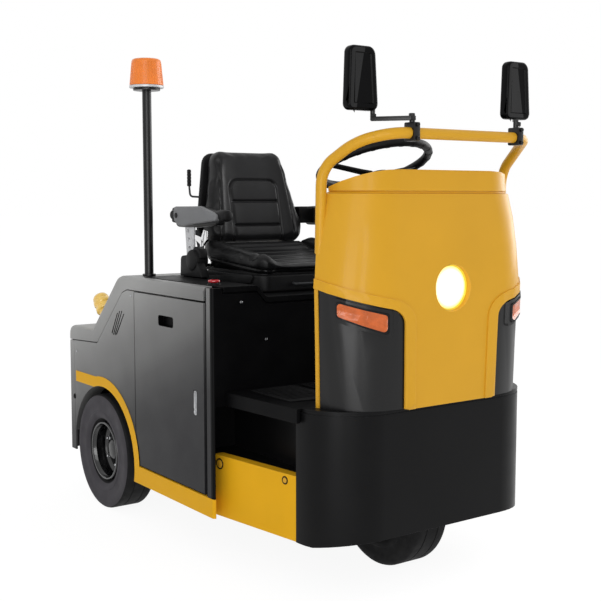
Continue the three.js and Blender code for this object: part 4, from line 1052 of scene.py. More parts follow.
class TRACTOR_OT_mirrors(TractorOperator, bpy.types.Operator):
    """Rear-view mirrors on clamped arms: a tapered glossy housing, its pressed front and the glass behind"""

    bl_idname = "tractor.mirrors"
    bl_label = "Mirrors"

    def execute(self, context):
        for side, clamp, stem, head in MIRRORS:
            self.arm(side, clamp, stem)
            self.head(side, head)
        return {"FINISHED"}

    def arm(self, side, clamp, stem):
        rail = slab("clamp", "x", [(-316, 1294, 4), (-274, 1294, 4), (-274, 1345, 4), (-316, 1345, 4)],
                    clamp - 11, clamp + 11, edge=1.5)
        carved(rail, spun("room", [(0, -30), (15.9, -30), (15.9, 30), (0, 30)],
                          facing(at(clamp, -295, 1316), (1, 0, 0)), 32))
        flat = slab("arm", "z", [(clamp - 12, -304, 4), (clamp + 12, -304, 4), (stem + 9, -212, 5),
                                 (stem, -200, 4), (stem - 9, -212, 5)], 1350, 1362, edge=1.5)
        nuts = [
            spun("nut", [(0, 0), (9, 0), (9, 6), (7.5, 7.5), (0, 7.5)], facing(at(x, y, 1362), (0, 0, 1)), 6)
            for x, y in ((clamp, -293), (stem, -211))
        ]
        screws = [
            spun("screw", [(0, 0), (6, 0), (6, 4), (4.5, 6), (0, 6)],
                 facing(at(clamp, -317, z), (0, -1, 0)), 6)
            for z in (1301, 1338)
        ]
        rods = [self.rod(clamp, -295, 1338, 1366, 8), self.rod(stem, -209, 1352, 1392, 7)]
        parts = [rail, flat, *rods, *nuts, *screws]
        arm = joined(f"mirror_arm_{side}", *parts)
        finished(arm, CHASSIS, "black_enamel", "black_paint")

    @staticmethod
    def rod(x, y, low, high, radius):
        """An upright rod with a broken top edge."""
        return spun("rod", [(0, low), (radius, low), (radius, high - 1), (radius - 1, high), (0, high)],
                    facing(at(x, y, 0), (0, 0, 1)), 20)

    def head(self, side, head):
        """The housing, with the flat that its front is pressed to, and the glass."""
        outer = [(-52, -86, 18), (56, -86, 20), (44, 87, 24), (-46, 87, 20)]
        rim = [(u + head, v + 1463, r) for u, v, r in outer]
        shell = slab(f"mirror_housing_{side}", "y", rim, -221, -189, edge=9, segments=5, steps=7)
        front = at(0, -221, 0).y
        with editing(shell):
            pick(shell, "FACE", lambda centre, normal: normal.y < -0.99 and centre.y < front + 0.001)
            bpy.ops.mesh.inset(thickness=0.009, depth=0)
            bpy.ops.mesh.inset(thickness=0.003, depth=-0.003)
        back = at(0, -189, 0).y
        with editing(shell):
            pick(shell, "FACE", lambda centre, normal: normal.y > 0.99 and centre.y > back - 0.001)
            bpy.ops.mesh.inset(thickness=0.0015, depth=-0.003)
        finished(shell, CHASSIS, "gloss_abs", "black_plastic", f"mirror_{side}")
        # Painted reflection: one half of the housing's pressed front, cut off along a slanting line, takes
        # the lighter black enamel as if it caught the studio's light.
        lean = dict(SIDES)[side]
        foot, crest = at(head + 24 * lean, 0, 1380), at(head - 6 * lean, 0, 1550)
        across = Vector((crest.z - foot.z, 0, foot.x - crest.x)).normalized()
        with editing(shell):
            bpy.ops.mesh.bisect(plane_co=foot, plane_no=across)
        second(shell, "black_enamel", lambda centre, normal:
               normal.y < -0.9 and centre.y < front + 0.005 and (centre - foot).dot(across) < 0)
        inner = [(u * 0.8 + head, v * 0.87 + 1463, r * 0.75) for u, v, r in outer]
        glass = slab(f"mirror_glass_{side}", "y", inner, -192.2, -190.6, edge=0.5, steps=7)
        finished(glass, CHASSIS, "mirror_glass", "bright_metal")


# Outline of a turn signal's sunk window on the cowl's corner, as (along, up, radius)
SIGNAL_WINDOW = [(-125, 815.5, 9), (14, 769, 9), (14, 818.5, 9), (-125, 853, 9)]
BEACON_SECTORS = 72  # round the beacon's cover; every other one is sunk as a flute


class TRACTOR_OT_lamps(TractorOperator, bpy.types.Operator):
    """Headlight, turn signals, beacon and rear lamps"""

    bl_idname = "tractor.lamps"
    bl_label = "Lamps"

    def execute(self, context):
        self.headlight()
        for side, sign in SIDES:
            lens = cad_copy(f"turn_signal_{side}", f"turn_signal_lens_{side}")
            out = Vector((sign, -1, 0)).normalized()
            inside = scored(lens, sign, rounded(SIGNAL_WINDOW, 3))
            finished(lens, CHASSIS, "textured_abs", "amber_plastic", f"turn_signal_{side}")
            lens.data.materials.append(finish_of("amber_prisms"))
            with editing(lens):
                pick(lens, "FACE", lambda centre, normal: normal.dot(out) > 0.6 and inside(centre))
                lens.active_material_index = 1
                bpy.ops.object.material_slot_assign()
                bpy.ops.mesh.inset(thickness=0.0008, depth=-0.001)
        self.beacon()
        self.rear_lamps()
        return {"FINISHED"}

    def headlight(self):
        ahead = facing(at(0, -250, 883), (0, -1, 0))
        lens = spun("headlight_lens", [(0, 8.6), (14, 8.3), (28, 7.2), (42, 5.2), (54, 2.6), (60, 0.6),
                                       (62.6, -2), (62.6, -8), (0, -8)], ahead, 72)
        finished(lens, CHASSIS, "lit_polycarbonate", "lamp_lens", "headlight")
        bowl = spun("headlight_bowl", [(0, -8.4), (62.8, -8.4), (62.8, -12), (60, -16), (52, -26), (40, -36),
                                       (24, -43), (0, -43.5)], ahead, 48)
        finished(bowl, CHASSIS, "textured_abs", "black_plastic")
        # The ring's pale yellow is painted light from the lamp.
        ring = spun("headlight_ring", [(61.5, 0.9), (63.4, 2.8), (66, 3.4), (68.2, 2.2), (68.7, -1),
                                       (68.7, -7), (63, -7), (63, -1.6), (61.5, 0.9)], ahead, 72)
        finished(ring, CHASSIS, "gloss_yellow_enamel", "yellow_paint")

    def beacon(self):
        low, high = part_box("beacon_lamp")
        foot = Vector(((low.x + high.x) / 2, (low.y + high.y) / 2, low.z))
        upright = Matrix.Translation(foot)
        cover = spun("beacon_cover", [(0, 8), (55, 8), (57.6, 9.4), (57.4, 12), (50.6, 84), (49.6, 90),
                                      (47, 94.6), (42, 97.2), (34, 98.4), (0, 99.6)], upright, BEACON_SECTORS)
        with editing(cover):
            pick(cover, "FACE", lambda centre, normal: 0.016 < centre.z - foot.z < 0.08
                 and sector(centre, foot, BEACON_SECTORS) % 2 == 0)
            bpy.ops.mesh.inset(thickness=0.0006, depth=-0.0007)
        finished(cover, CHASSIS, "orange_polycarbonate", "amber_plastic", "beacon_lamp")
        base = spun("beacon_base", [(0, 0), (57, 0), (58.8, 1.2), (58.8, 6.4), (57.6, 7.8), (0, 7.8)],
                    upright, 60)
        finished(base, CHASSIS, "pale_steel", "frame_steel")

    def rear_lamps(self):
        tilt = Matrix.Translation(at(-440, 1089, 692.6)) @ Matrix.Rotation(-math.atan2(215, 226), 4, "X")
        glass = [(0, 10), (24, 10), (24.6, 12), (24.6, 38), (27, 41), (31.6, 43.4), (33, 46), (33, 56),
                 (31.4, 59), (29, 61.4), (28.6, 65), (29, 68.6), (31.6, 71), (33, 74), (33, 84), (31.4, 87.4),
                 (29.4, 90), (30.6, 94), (29.4, 102), (25, 109.6), (17, 114.4), (8, 115.8), (0, 116)]
        lens = spun("rear_lamp_lens_right", glass, tilt, 40)
        foot = spun("rear_lamp_foot_right", [(0, 0.2), (29, 0.2), (30, 1.4), (30, 6), (28.6, 8), (25.4, 9.8),
                                             (0, 9.8)], tilt, 40)
        both_sides(lens, CHASSIS, "yellow_polycarbonate", "amber_plastic", "rear_lamp")
        both_sides(foot, CHASSIS, "textured_abs", "black_plastic")


CLOTH_FRAMES = 20  # time that the seat's cover gets to swell
# The seat back's own frame, leaning by 14 degrees; its pads are shaped in it, the cushion's in the vehicle's
SEAT_BACK = Matrix.Translation(at(0, 809, 963)) @ Matrix.Rotation(-math.radians(14), 4, "X")
CUSHION_CHANNELS = (424, 494, 564, 634, 700)  # how far back the channels across the cushion are sewn
BACK_CHANNELS = (232, 152, 64, -16)  # how high the quilted middle of the back ends, and its channels below


def smoothstep(value):
    """0 below 0, 1 above 1, and a soft rise between."""
    value = min(1.0, max(0.0, value))
    return value * value * (3 - 2 * value)


def dip(distance, width):
    """Depth of a sewn groove, 1 in its middle and 0 well beside it."""
    return math.exp(-((distance / width) ** 2))


class TRACTOR_OT_seat(TractorOperator, bpy.types.Operator):
    """Seat cushion and seat back: foam swollen under its cover, then bolsters, seams and sewn channels"""

    bl_idname = "tractor.seat"
    bl_label = "Seat"

    def execute(self, context):
        upright = Matrix.Translation(at(0, 0, 0))
        for node, name, place, size, shape, sew in (
            ("seat_cushion", "seat_cushion_pad", upright, (0.98, 0.965, 0.95),
             self.cushion_form, self.cushion_seams),
            ("seat_backrest", "seat_back_pad", SEAT_BACK, (1.0, 0.97, 1.05), self.back_form, self.back_seams),
        ):
            pad = self.foam(node, name, size)
            self.shaped(pad, place, shape)
            self.swell(pad)
            modify(pad, "SUBSURF", levels=1, render_levels=1)
            self.shaped(pad, place, sew)
            # The cushion takes the darker vinyl: painted shade.
            finish = "worn_vinyl" if node == "seat_cushion" else "grained_vinyl"
            finished(pad, "seat_lid", finish, "black_vinyl", node)
        return {"FINISHED"}

    def foam(self, node, name, size):
        """A copy of the plain solid a little smaller than the swollen pad, in even quads."""
        pad = cad_copy(node, name)
        low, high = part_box(node)
        with editing(pad):
            foot = ((low.x + high.x) / 2, (low.y + high.y) / 2, low.z)
            bpy.ops.transform.resize(value=size, center_override=foot)
        modify(pad, "REMESH", mode="VOXEL", voxel_size=0.006)
        modify(pad, "SMOOTH", iterations=6, factor=0.5)
        return pad

    def swell(self, pad):
        """Cloth under pressure: the cover crowns between its edges, and no point moves further than the foam
        pushes it."""
        rest = [vertex.co.copy() for vertex in pad.data.vertices]
        only(pad)
        cloth = pad.modifiers.new("Cloth", "CLOTH")
        cloth.settings.use_pressure = True
        cloth.settings.uniform_pressure_force = 4
        cloth.settings.shrink_min = -0.03
        cloth.settings.effector_weights.gravity = 0
        cloth.settings.quality = 4
        cloth.point_cache.frame_start, cloth.point_cache.frame_end = 1, CLOTH_FRAMES
        for step in range(1, CLOTH_FRAMES + 1):
            bpy.context.scene.frame_set(step)
        bpy.ops.object.modifier_apply(modifier=cloth.name)
        bpy.context.scene.frame_set(1)
        most = sizes().pad_swell
        for vertex, start in zip(pad.data.vertices, rest):
            move = vertex.co - start
            if move.length > most:
                vertex.co = start + move.normalized() * most
        modify(pad, "SMOOTH", iterations=8, factor=0.5)

    def shaped(self, pad, place, push):
        """Moves each point by what push(point, normal) gives, in the pad's own frame and in millimetres."""
        back, turn = place.inverted(), place.to_3x3()
        inward = turn.inverted()
        normals = [inward @ normal.vector for normal in pad.data.vertex_normals]
        for vertex, normal in zip(pad.data.vertices, normals):
            vertex.co += turn @ (push((back @ vertex.co) / MM, normal) * MM)
        pad.data.update()

    def cushion_form(self, point, normal):
        """A dished middle between side rolls that end in round knobs at the front."""
        top = smoothstep((point.z - 900) / 50)
        middle = 1 - smoothstep((abs(point.x) - 158) / 40)
        front = smoothstep((430 - point.y) / 70)
        rear = smoothstep((point.y - 650) / 80)
        drop = -25 * middle * top * (1 - 0.25 * front) * (1 - rear)
        roll = 18 * math.exp(-(((abs(point.x) - 220) / 27) ** 2)) * top * (1 - front)
        axis = 914 + (point.y - 385) * 0.12
        inward = 22 * (1 - smoothstep((point.z - axis + 34) / 18)) * smoothstep((abs(point.x) - 200) / 40)
        return Vector((-math.copysign(inward, point.x), 26 * rear, drop + roll + 9 * rear))

    def cushion_seams(self, point, normal):
        """Channels across the middle, the seams beside them and round the side, and the knobs' tucks."""
        depth = sizes().channel_depth / MM
        up = smoothstep((normal.z - 0.2) / 0.4)
        inside = 1 - smoothstep((abs(point.x) - 160) / 10)
        seam = dip(abs(point.x) - 172, 5) * 0.9 * smoothstep((point.y - 372) / 20)
        cross = max(dip(point.y - y, 4.5) for y in CUSHION_CHANNELS) * 0.8 * inside
        puff = 0
        if CUSHION_CHANNELS[0] < point.y < CUSHION_CHANNELS[-1]:
            puff = 3.2 * inside - 3.2 * inside * math.cos((point.y - 459) * math.pi / 35) ** 2
        beside = ((abs(point.x) - 226) / 26) ** 2 + ((point.y - 384) / 27) ** 2
        knob = 19 * math.exp(-beside) * smoothstep((point.z - 905) / 20)
        tuck = 9 * dip(point.y - CUSHION_CHANNELS[0], 12) * smoothstep((abs(point.x) - 176) / 20) * up
        around = dip(point.z - 906 - (point.y - 385) * 0.09, 3.4) * 0.6 * (1 - up)
        sunk = -normal * depth * (max(seam, cross) * up + around)
        return sunk + Vector((0, -0.2 * knob, puff * up * 0.6 + knob - tuck))

    def back_form(self, point, normal):
        """Side wings that come forward of the middle."""
        front = smoothstep((-normal.y - 0.1) / 0.5)
        seam = 163 - 0.09 * max(0, point.z)
        wing = smoothstep((abs(point.x) - seam + 26) / 36) * (1 - 0.55 * smoothstep((point.z - 250) / 70))
        hollow = 1 - smoothstep((abs(point.x) - 60) / 90)
        return Vector((0, (-9 * wing + 5 * hollow) * front, 0))

    def back_seams(self, point, normal):
        """The quilted middle with its outline and channels, the wings' seams and the welt round the side."""
        depth = sizes().channel_depth / MM
        front = smoothstep((-normal.y - 0.35) / 0.3)
        half, top, corner = 102, BACK_CHANNELS[0], 36
        across, above = abs(point.x) - (half - corner), point.z - (top - corner)
        if across > 0 and above > 0:
            reach = math.hypot(across, above) - corner
        else:
            reach = max(across, above) - corner
        outline = dip(reach, 4.0)
        inside = 1 - smoothstep((reach + 8) / 8)
        channels = max(dip(point.z - z, 4.0) for z in BACK_CHANNELS[1:]) * inside
        puff = 0
        for high, low in zip(BACK_CHANNELS, BACK_CHANNELS[1:]):
            if low < point.z < high:
                puff = 4.5 * math.sin((point.z - low) / (high - low) * math.pi) ** 0.6 * inside
        wing = dip(abs(point.x) - (161 - 0.085 * max(0, point.z)), 5.0) * 0.75
        wing *= 1 - smoothstep((point.z - 285) / 30)
        welt = dip(point.y + 12, 3.2) * 0.5 * (1 - front)
        sunk = -normal * depth * (max(outline * 0.8, channels, wing) * front + welt)
        return sunk + Vector((0, -puff * front, 0))


class TRACTOR_OT_armrests(TractorOperator, bpy.types.Operator):
    """Armrests: grey side cover, padded top, round end, drilled plate and the pivot at the seat back"""

    bl_idname = "tractor.armrests"
    bl_label = "Armrests"

    def execute(self, context):
        for part, finish, slot in self.parts():
            nodes = ["armrest"] if part.name == "arm_cover_right" else []
            pair = both_sides(part, "seat_lid", finish, slot, *nodes)
        return {"FINISHED"}

    def parts(self):
        cover = slab("arm_cover_right", "x", [(816, 1110, 14), (640, 1112, 12), (527, 1084, 7),
                                              (530, 1064, 8), (778, 1042, 16), (814, 1062, 16)], -319, -298,
                     edge=6, segments=4)
        plug = spun("arm_plug_right", [(0, 0), (9.4, 0), (9.4, 2.2), (8.2, 3), (0, 3)],
                    facing(at(-318.4, 793, 1079), (-1, 0, 0)), 24)
        pad = slab("arm_pad_right", "x", [(838, 1108, 20), (690, 1112, 60), (548, 1094, 16), (546, 1048, 16),
                                          (700, 1038, 60), (838, 1036, 20)], -300, -262, edge=12, segments=5)
        modify(pad, "SUBSURF", levels=1, render_levels=1)
        knob = spun("arm_end_right", [(0, 0), (12, 1), (17, 4), (19.6, 10), (19.6, 52), (17, 58), (0, 60)],
                    facing(at(-289, 490, 1081), (0, 1, 0)), 32)
        plate = slab("arm_plate_right", "x", [(722, 899, 3), (764, 899, 3), (780, 1052, 4), (716, 1052, 4)],
                     -292, -284, edge=1.2)
        for y, z in ((757, 1024), (751, 996), (747, 966), (744, 936)):
            hole = spun("hole", [(0, -20), (7, -20), (7, 20), (0, 20)], facing(at(-288, y, z), (1, 0, 0)), 20)
            carved(plate, hole)
        tie = block("arm_tie_right", (-290, 742, 899), (-164, 758, 909), 1.5)
        pivot = slab("pivot", "x", [(776, 1044, 8), (866, 1054, 8), (862, 1106, 10), (776, 1108, 10)], -298,
                     -198, edge=5)
        boss = spun("boss", [(0, 0), (16, 0), (16, 6), (13, 9), (0, 9)],
                    facing(at(-298, 846, 1080), (-1, 0, 0)), 28)
        return [
            (cover, "grey_abs", "black_plastic"),
            (plug, "textured_abs", "black_plastic"),
            (pad, "grained_vinyl", "black_vinyl"),
            (knob, "textured_abs", "black_plastic"),
            (plate, "pale_steel", "frame_steel"),
            (joined("arm_pivot_right", pivot, boss, tie), "black_powder_coat", "black_paint"),
        ]


class TRACTOR_OT_belt(TractorOperator, bpy.types.Operator):
    """Seat belt: webbing from the reel up the right side, its tongue, and the buckle on the left"""

    bl_idname = "tractor.belt"
    bl_label = "Seat belt"

    def execute(self, context):
        web = slab("belt_webbing", "x", [(662, 966, 2), (706, 1030, 10), (730, 1030, 10), (706, 966, 2)],
                   -284, -281.6, edge=0.8)
        finished(web, "seat_lid", "woven_webbing", "black_vinyl")
        tongue = slab("belt_tongue", "x", [(628, 1030, 3), (648, 1032, 3), (664, 1006, 4), (706, 1014, 3),
                                           (708, 998, 3), (672, 982, 4), (672, 948, 3), (654, 940, 3),
                                           (650, 982, 4), (628, 998, 3)], -294, -289, edge=1)
        finished(tongue, "seat_lid", "chromed_steel", "bright_metal")
        drum = spun("drum", [(0, 0), (30, 0), (35, 4), (37, 10), (37, 44), (34, 50), (28, 52), (0, 52)],
                    facing(at(-282, 668, 928), (-1, 0, 0)), 48)
        foot = slab("foot", "x", [(600, 871.6, 3), (748, 871.6, 3), (744, 940, 14), (660, 950, 20),
                                  (612, 900, 14)], -330, -300, edge=5, segments=3)
        slot_lip = slab("lip", "x", [(622, 930, 6), (678, 950, 6), (670, 976, 8), (630, 966, 8)], -322, -290,
                        edge=5)
        housing = joined("belt_reel_housing", drum, foot, slot_lip)
        finished(housing, "seat_lid", "textured_abs", "black_plastic", "belt_reel")
        stalk = pipe("stalk", [(262, 700, 900), (268, 690, 930), (270, 676, 968)], 6, bend=14)
        head = slab("head", "x", [(656, 962, 5), (692, 962, 5), (680, 1012, 6), (652, 1008, 6)], 262, 280,
                    edge=3)
        button = slab("belt_button", "x", [(655, 1004, 2), (677, 1008, 2), (676, 1014, 2), (654, 1010, 2)],
                      264, 278, edge=1)
        buckle = joined("belt_buckle", stalk, head)
        finished(buckle, "seat_lid", "textured_abs", "black_plastic")
        finished(button, "seat_lid", "red_gloss", "red_plastic")
        return {"FINISHED"}


class TRACTOR_OT_seat_levers(TractorOperator, bpy.types.Operator):
    """Lever behind the seat back, slide handle and the seat's side shields"""

    bl_idname = "tractor.seat_levers"
    bl_label = "Seat levers"

    def execute(self, context):
        rod = pipe("recline_rod", [(-196, 842, 1143), (-213, 878, 1145), (-215, 881, 1185)], 3.6, bend=12)
        grip = spun("recline_grip", [(0, 0), (7, 0), (7.6, 3), (7.6, 9), (6.4, 11), (7.6, 13), (7.6, 21),
                                     (6.4, 23), (7.6, 25), (7.6, 33), (6.4, 35), (7.6, 37), (7.6, 45),
                                     (6.4, 47), (7.6, 49), (7.2, 57), (4, 60), (0, 60)],
                    facing(at(-215, 881, 1182), (0, 0, 1)), 20)
        finished(rod, "seat_lid", "painted_steel", "frame_steel")
        finished(grip, "seat_lid", "textured_abs", "black_plastic")
        for side, sign in reversed(SIDES):
            outline = [(402, 892, 10), (560, 884, 40), (690, 872, 10), (716, 846, 8), (540, 846, 20),
                       (420, 862, 14)]
            shield = slab(f"seat_shield_{side}", "x", outline, 244, 252, edge=3)
            if sign < 0:
                shield.scale.x = -1
                outward(settle(shield))
            finished(shield, "seat_lid", "textured_abs", "black_plastic")
        slide = pipe("slide_handle", [(-120, 372, 862), (-120, 350, 858), (120, 350, 858), (120, 372, 862)],
                     5, bend=12)
        finished(slide, "seat_lid", "painted_steel", "frame_steel")
        return {"FINISHED"}


BODY_SIDE = 495  # how far the body's sides stand from the middle


class TRACTOR_OT_door_fittings(TractorOperator, bpy.types.Operator):
    """Door latches with their lock barrels, the louvres' mesh, hinge knuckles and the seat box's bolts"""

    bl_idname = "tractor.door_fittings"
    bl_label = "Door fittings"

    def execute(self, context):
        for side, sign in reversed(SIDES):
            low, high = sorted((sign * 490.6, sign * 495.4))
            plate = slab(f"latch_{side}", "x", [(356.4, 463, 6), (371.6, 463, 6), (371.6, 541, 6),
                                                (356.4, 541, 6)], low, high, edge=1)
            low, high = sorted((sign * 494.8, sign * 497.4))
            lever = slab("lever", "x", [(358.4, 484, 4), (369.6, 484, 4), (368.6, 537, 5), (359.4, 537, 5)],
                         low, high, edge=0.9)
            barrel = spun("barrel", [(0, 0), (6.2, 0), (6.2, 2.2), (5, 2.8), (2, 2.8), (1.4, 1.4), (0, 1.4)],
                          facing(at(sign * BODY_SIDE, 364, 473), (sign, 0, 0)), 24)
            finished(joined(f"latch_{side}", plate, lever, barrel), f"door_{side}", "zinc_plate",
                     "bright_metal", f"door_latch_{side}")
            low, high = sorted((sign * 484, sign * 487))
            mesh = slab(f"louvre_mesh_{side}", "x", [(846, 652, 6), (956, 652, 6), (956, 752, 6),
                                                     (846, 752, 6)], low, high, edge=1)
            # The mesh sits in the louvres' recess and takes the nearly black coat of painted shade.
            finished(mesh, CHASSIS, "sheltered_powder_coat", "black_plastic")
            knuckles = [
                spun("knuckle", [(0, 0), (5, 0), (5, 46), (0, 46)],
                     facing(at(sign * 484, 783.5, z), (0, 0, 1)), 16)
                for z in (286, 518, 752)
            ]
            finished(joined(f"door_hinges_{side}", *knuckles), CHASSIS, "painted_steel", "frame_steel")
            bolts = [self.bolt(at(sign * x, 257, z), (0, -1, 0), 5) for x, z in ((392, 822), (300, 700))]
            finished(joined(f"seat_box_bolts_{side}", *bolts), CHASSIS, "zinc_plate", "bright_metal")
        return {"FINISHED"}

    @staticmethod
    def bolt(place, direction, radius):
        return spun("bolt", [(0, -1), (radius, -1), (radius, 0.8), (radius * 0.86, 2.2), (radius * 0.5, 3),
                             (0, 3.1)], facing(place, direction), 20)


FLOOR_TOP = 548.2  # height at which the mats lie on the driver's floor


class TRACTOR_OT_step_fittings(TractorOperator, bpy.types.Operator):
    """Plugs in the step panels, rubber mats on the floor and in the step wells"""

    bl_idname = "tractor.step_fittings"
    bl_label = "Step fittings"

    def execute(self, context):
        out = Vector((-0.991, -0.1325, 0))  # square to the step panel
        seats = []
        caps = []
        for y, z, radius in ((292, 317, 17), (-6, 324, 12)):
            place = at(-405 - (y + 54) / 374 * 50, y, z)
            seats.append(spun("seat", [(radius - 3.4, -1), (radius - 3.4, 1.2), (radius - 1.6, 2.2),
                                       (radius, 1.4), (radius + 0.6, -1), (radius - 3.4, -1)],
                              facing(place, out), 32))
            caps.append(spun("cap", [(0, -0.6), (radius - 3.6, -0.6), (radius - 4.4, 1.8), (radius - 6, 2.6),
                                     (0, 2.2)], facing(place, out), 32))
        both_sides(joined("step_plug_seats_right", *seats), CHASSIS, "mat_rubber", "pedal_rubber")
        both_sides(joined("step_plugs_right", *caps), CHASSIS, "yellow_enamel", "yellow_paint")
        mats = [self.mat([(-384, 8, 14), (-216, -26, 14), (-216, 226, 14), (-384, 226, 14)], FLOOR_TOP),
                self.mat([(-196, -26, 14), (196, -26, 14), (196, 226, 14), (-196, 226, 14)], FLOOR_TOP)]
        mats.append(other_side(mats[0], "mat"))
        finished(joined("floor_mats", *mats), CHASSIS, "mat_rubber", "pedal_rubber")
        return {"FINISHED"}

    def mat(self, corners, floor):
        """A rubber mat whose ribs run across the vehicle."""
        mat = slab("mat", "z", corners, floor, floor + 3.4, edge=1.2)
        first, last = corners[0][0] + 16, corners[1][0] - 16
        ribs = []
        y = max(corner[1] for corner in corners) - 20
        while y > max(corners[0][1], corners[1][1]) + 14:
            ribs.append(block("rib", (first, y - 4, floor + 3), (last, y + 4, floor + 5.4), 1.2))
            y -= 17
        return joined("mat", mat, *ribs)


class TRACTOR_OT_controls(TractorOperator, bpy.types.Operator):
    """Emergency switch, display, key switch, push buttons and pedals"""

    bl_idname = "tractor.controls"
    bl_label = "Controls"

    def execute(self, context):
        up = facing(at(-432, 350, 871.4), (0, 0, 1))
        collar = spun("switch_collar", [(0, 0), (21.6, 0), (21.6, 2), (20.4, 3.2), (13, 3.2), (12, 6.4),
                                        (0, 6.4)], up, 40)
        finished(collar, "seat_lid", "textured_abs", "black_plastic")
        cap = spun("switch_button", [(0, 5), (11.6, 5), (12.6, 7.6), (18.4, 8.8), (19.2, 10.4), (19, 12.6),
                                     (17, 14.6), (12, 15.6), (0, 15.9)], up, 40)
        finished(cap, "seat_lid", "red_gloss", "red_plastic", "emergency_switch")
        self.dash()
        self.pedals()
        return {"FINISHED"}

    def dash(self):
        panel = Matrix.Translation(at(0, -76, 1175)) @ Matrix.Rotation(-math.radians(19.4), 4, "X")
        to_panel = panel @ Matrix.Translation(-at(0, 0, 0))
        bezel = placed(slab("bezel", "z", [(-66, -22, 6), (66, -22, 6), (66, 24, 6), (-66, 24, 6)], 0, 4,
                            edge=1.4), to_panel)
        keys = []
        for x in (84, 108):
            key = slab("key", "z", [(x - 9, -8, 3), (x + 9, -8, 3), (x + 9, 8, 3), (x - 9, 8, 3)], 0, 4.6,
                       edge=1.6)
            keys.append(placed(key, to_panel))
        barrel = spun("barrel", [(0, 0), (13, 0), (13, 3), (11, 4.6), (4, 4.6), (4, 3.4), (0, 3.4)],
                      panel @ Matrix.Translation((-0.094, 0, 0)), 32)
        finished(joined("dash_switches", bezel, *keys), CHASSIS, "textured_abs", "black_plastic")
        finished(rename(barrel, "key_switch"), CHASSIS, "zinc_plate", "bright_metal")
        screen = placed(slab("dash_screen", "z", [(-58, -15, 3), (58, -15, 3), (58, 17, 3), (-58, 17, 3)],
                             3.2, 4.5, edge=0.5), to_panel)
        finished(screen, CHASSIS, "gloss_abs", "black_plastic")

    def pedals(self):
        frame_of_pad = Matrix.Translation(at(0, -30, 610)) @ Matrix.Rotation(-math.radians(38), 4, "X")
        plain = cad_copy("pedals", "pedal_frame", edge=0.0016)
        finished(plain, CHASSIS, "painted_steel", "pedal_rubber", "pedals")
        ribs = []
        for x in (-160, 30):
            ribs.append(slab("pad", "z", [(x - 31, -41, 8), (x + 31, -41, 8), (x + 31, 41, 8),
                                          (x - 31, 41, 8)], 6.5, 10.5, edge=1.4))
            ribs += [block("rib", (x - 24, y - 3, 10), (x + 24, y + 3, 13), 1) for y in range(-30, 31, 12)]
        pads = placed(joined("pedal_pads", *ribs), frame_of_pad @ Matrix.Translation(-at(0, 0, 0)))
        finished(pads, CHASSIS, "mat_rubber", "pedal_rubber")


class TRACTOR_OT_battery(TractorOperator, bpy.types.Operator):
    """Traction battery below the lid: steel trough, cells with plugs and poles, links and lifting eyes"""

    bl_idname = "tractor.battery"
    bl_label = "Battery"

    def execute(self, context):
        trough = cad_copy("battery_block", "battery_trough", edge=0.004)
        top = at(0, 0, 790).z
        with editing(trough):
            pick(trough, "FACE", lambda centre, normal: normal.z > 0.99 and centre.z > top - 0.001)
            bpy.ops.mesh.inset(thickness=0.010, depth=-0.034)
        finished(trough, CHASSIS, "painted_steel", "frame_steel", "battery_block")
        cells, plugs, links = [], [], []
        for i in range(6):
            for j in range(2):
                x, y = -357.5 + 143 * i, 506 + 170 * j
                cells.append(block("cell", (x - 69, y - 82, 750), (x + 69, y + 82, 781), 3))
                plugs.append(spun("plug", [(0, 0), (15, 0), (15, 5), (12, 8), (6, 9), (0, 9)],
                                  facing(at(x, y, 780.5), (0, 0, 1)), 24))
                for dx in (-36, 36):
                    plugs.append(spun("pole", [(0, 0), (12, 0), (11, 5), (8, 7), (0, 7)],
                                      facing(at(x + dx, y + 52, 780.5), (0, 0, 1)), 20))
                if i < 5:
                    links.append(block("link", (x + 30, y + 46, 786), (x + 113, y + 58, 790), 1.4))
        finished(joined("battery_cells", *cells), CHASSIS, "textured_abs", "black_plastic")
        finished(joined("battery_plugs", *plugs), CHASSIS, "yellow_polycarbonate", "amber_plastic")
        finished(joined("battery_links", *links), CHASSIS, "zinc_plate", "bright_metal")
        lugs = []
        for sign in (-1, 1):
            for y in (470, 712):
                eye = slab("eye", "x", [(y - 22, 742, 3), (y + 22, 742, 3), (y + 14, 786, 12),
                                        (y - 14, 786, 12)], *sorted((sign * 439.5, sign * 446)), edge=1)
                hole = spun("hole", [(0, -20), (9, -20), (9, 20), (0, 20)],
                            facing(at(sign * 442, y, 768), (1, 0, 0)), 20)
                lugs.append(carved(eye, hole))
        finished(joined("battery_lifting_eyes", *lugs), CHASSIS, "painted_steel", "frame_steel")
        return {"FINISHED"}


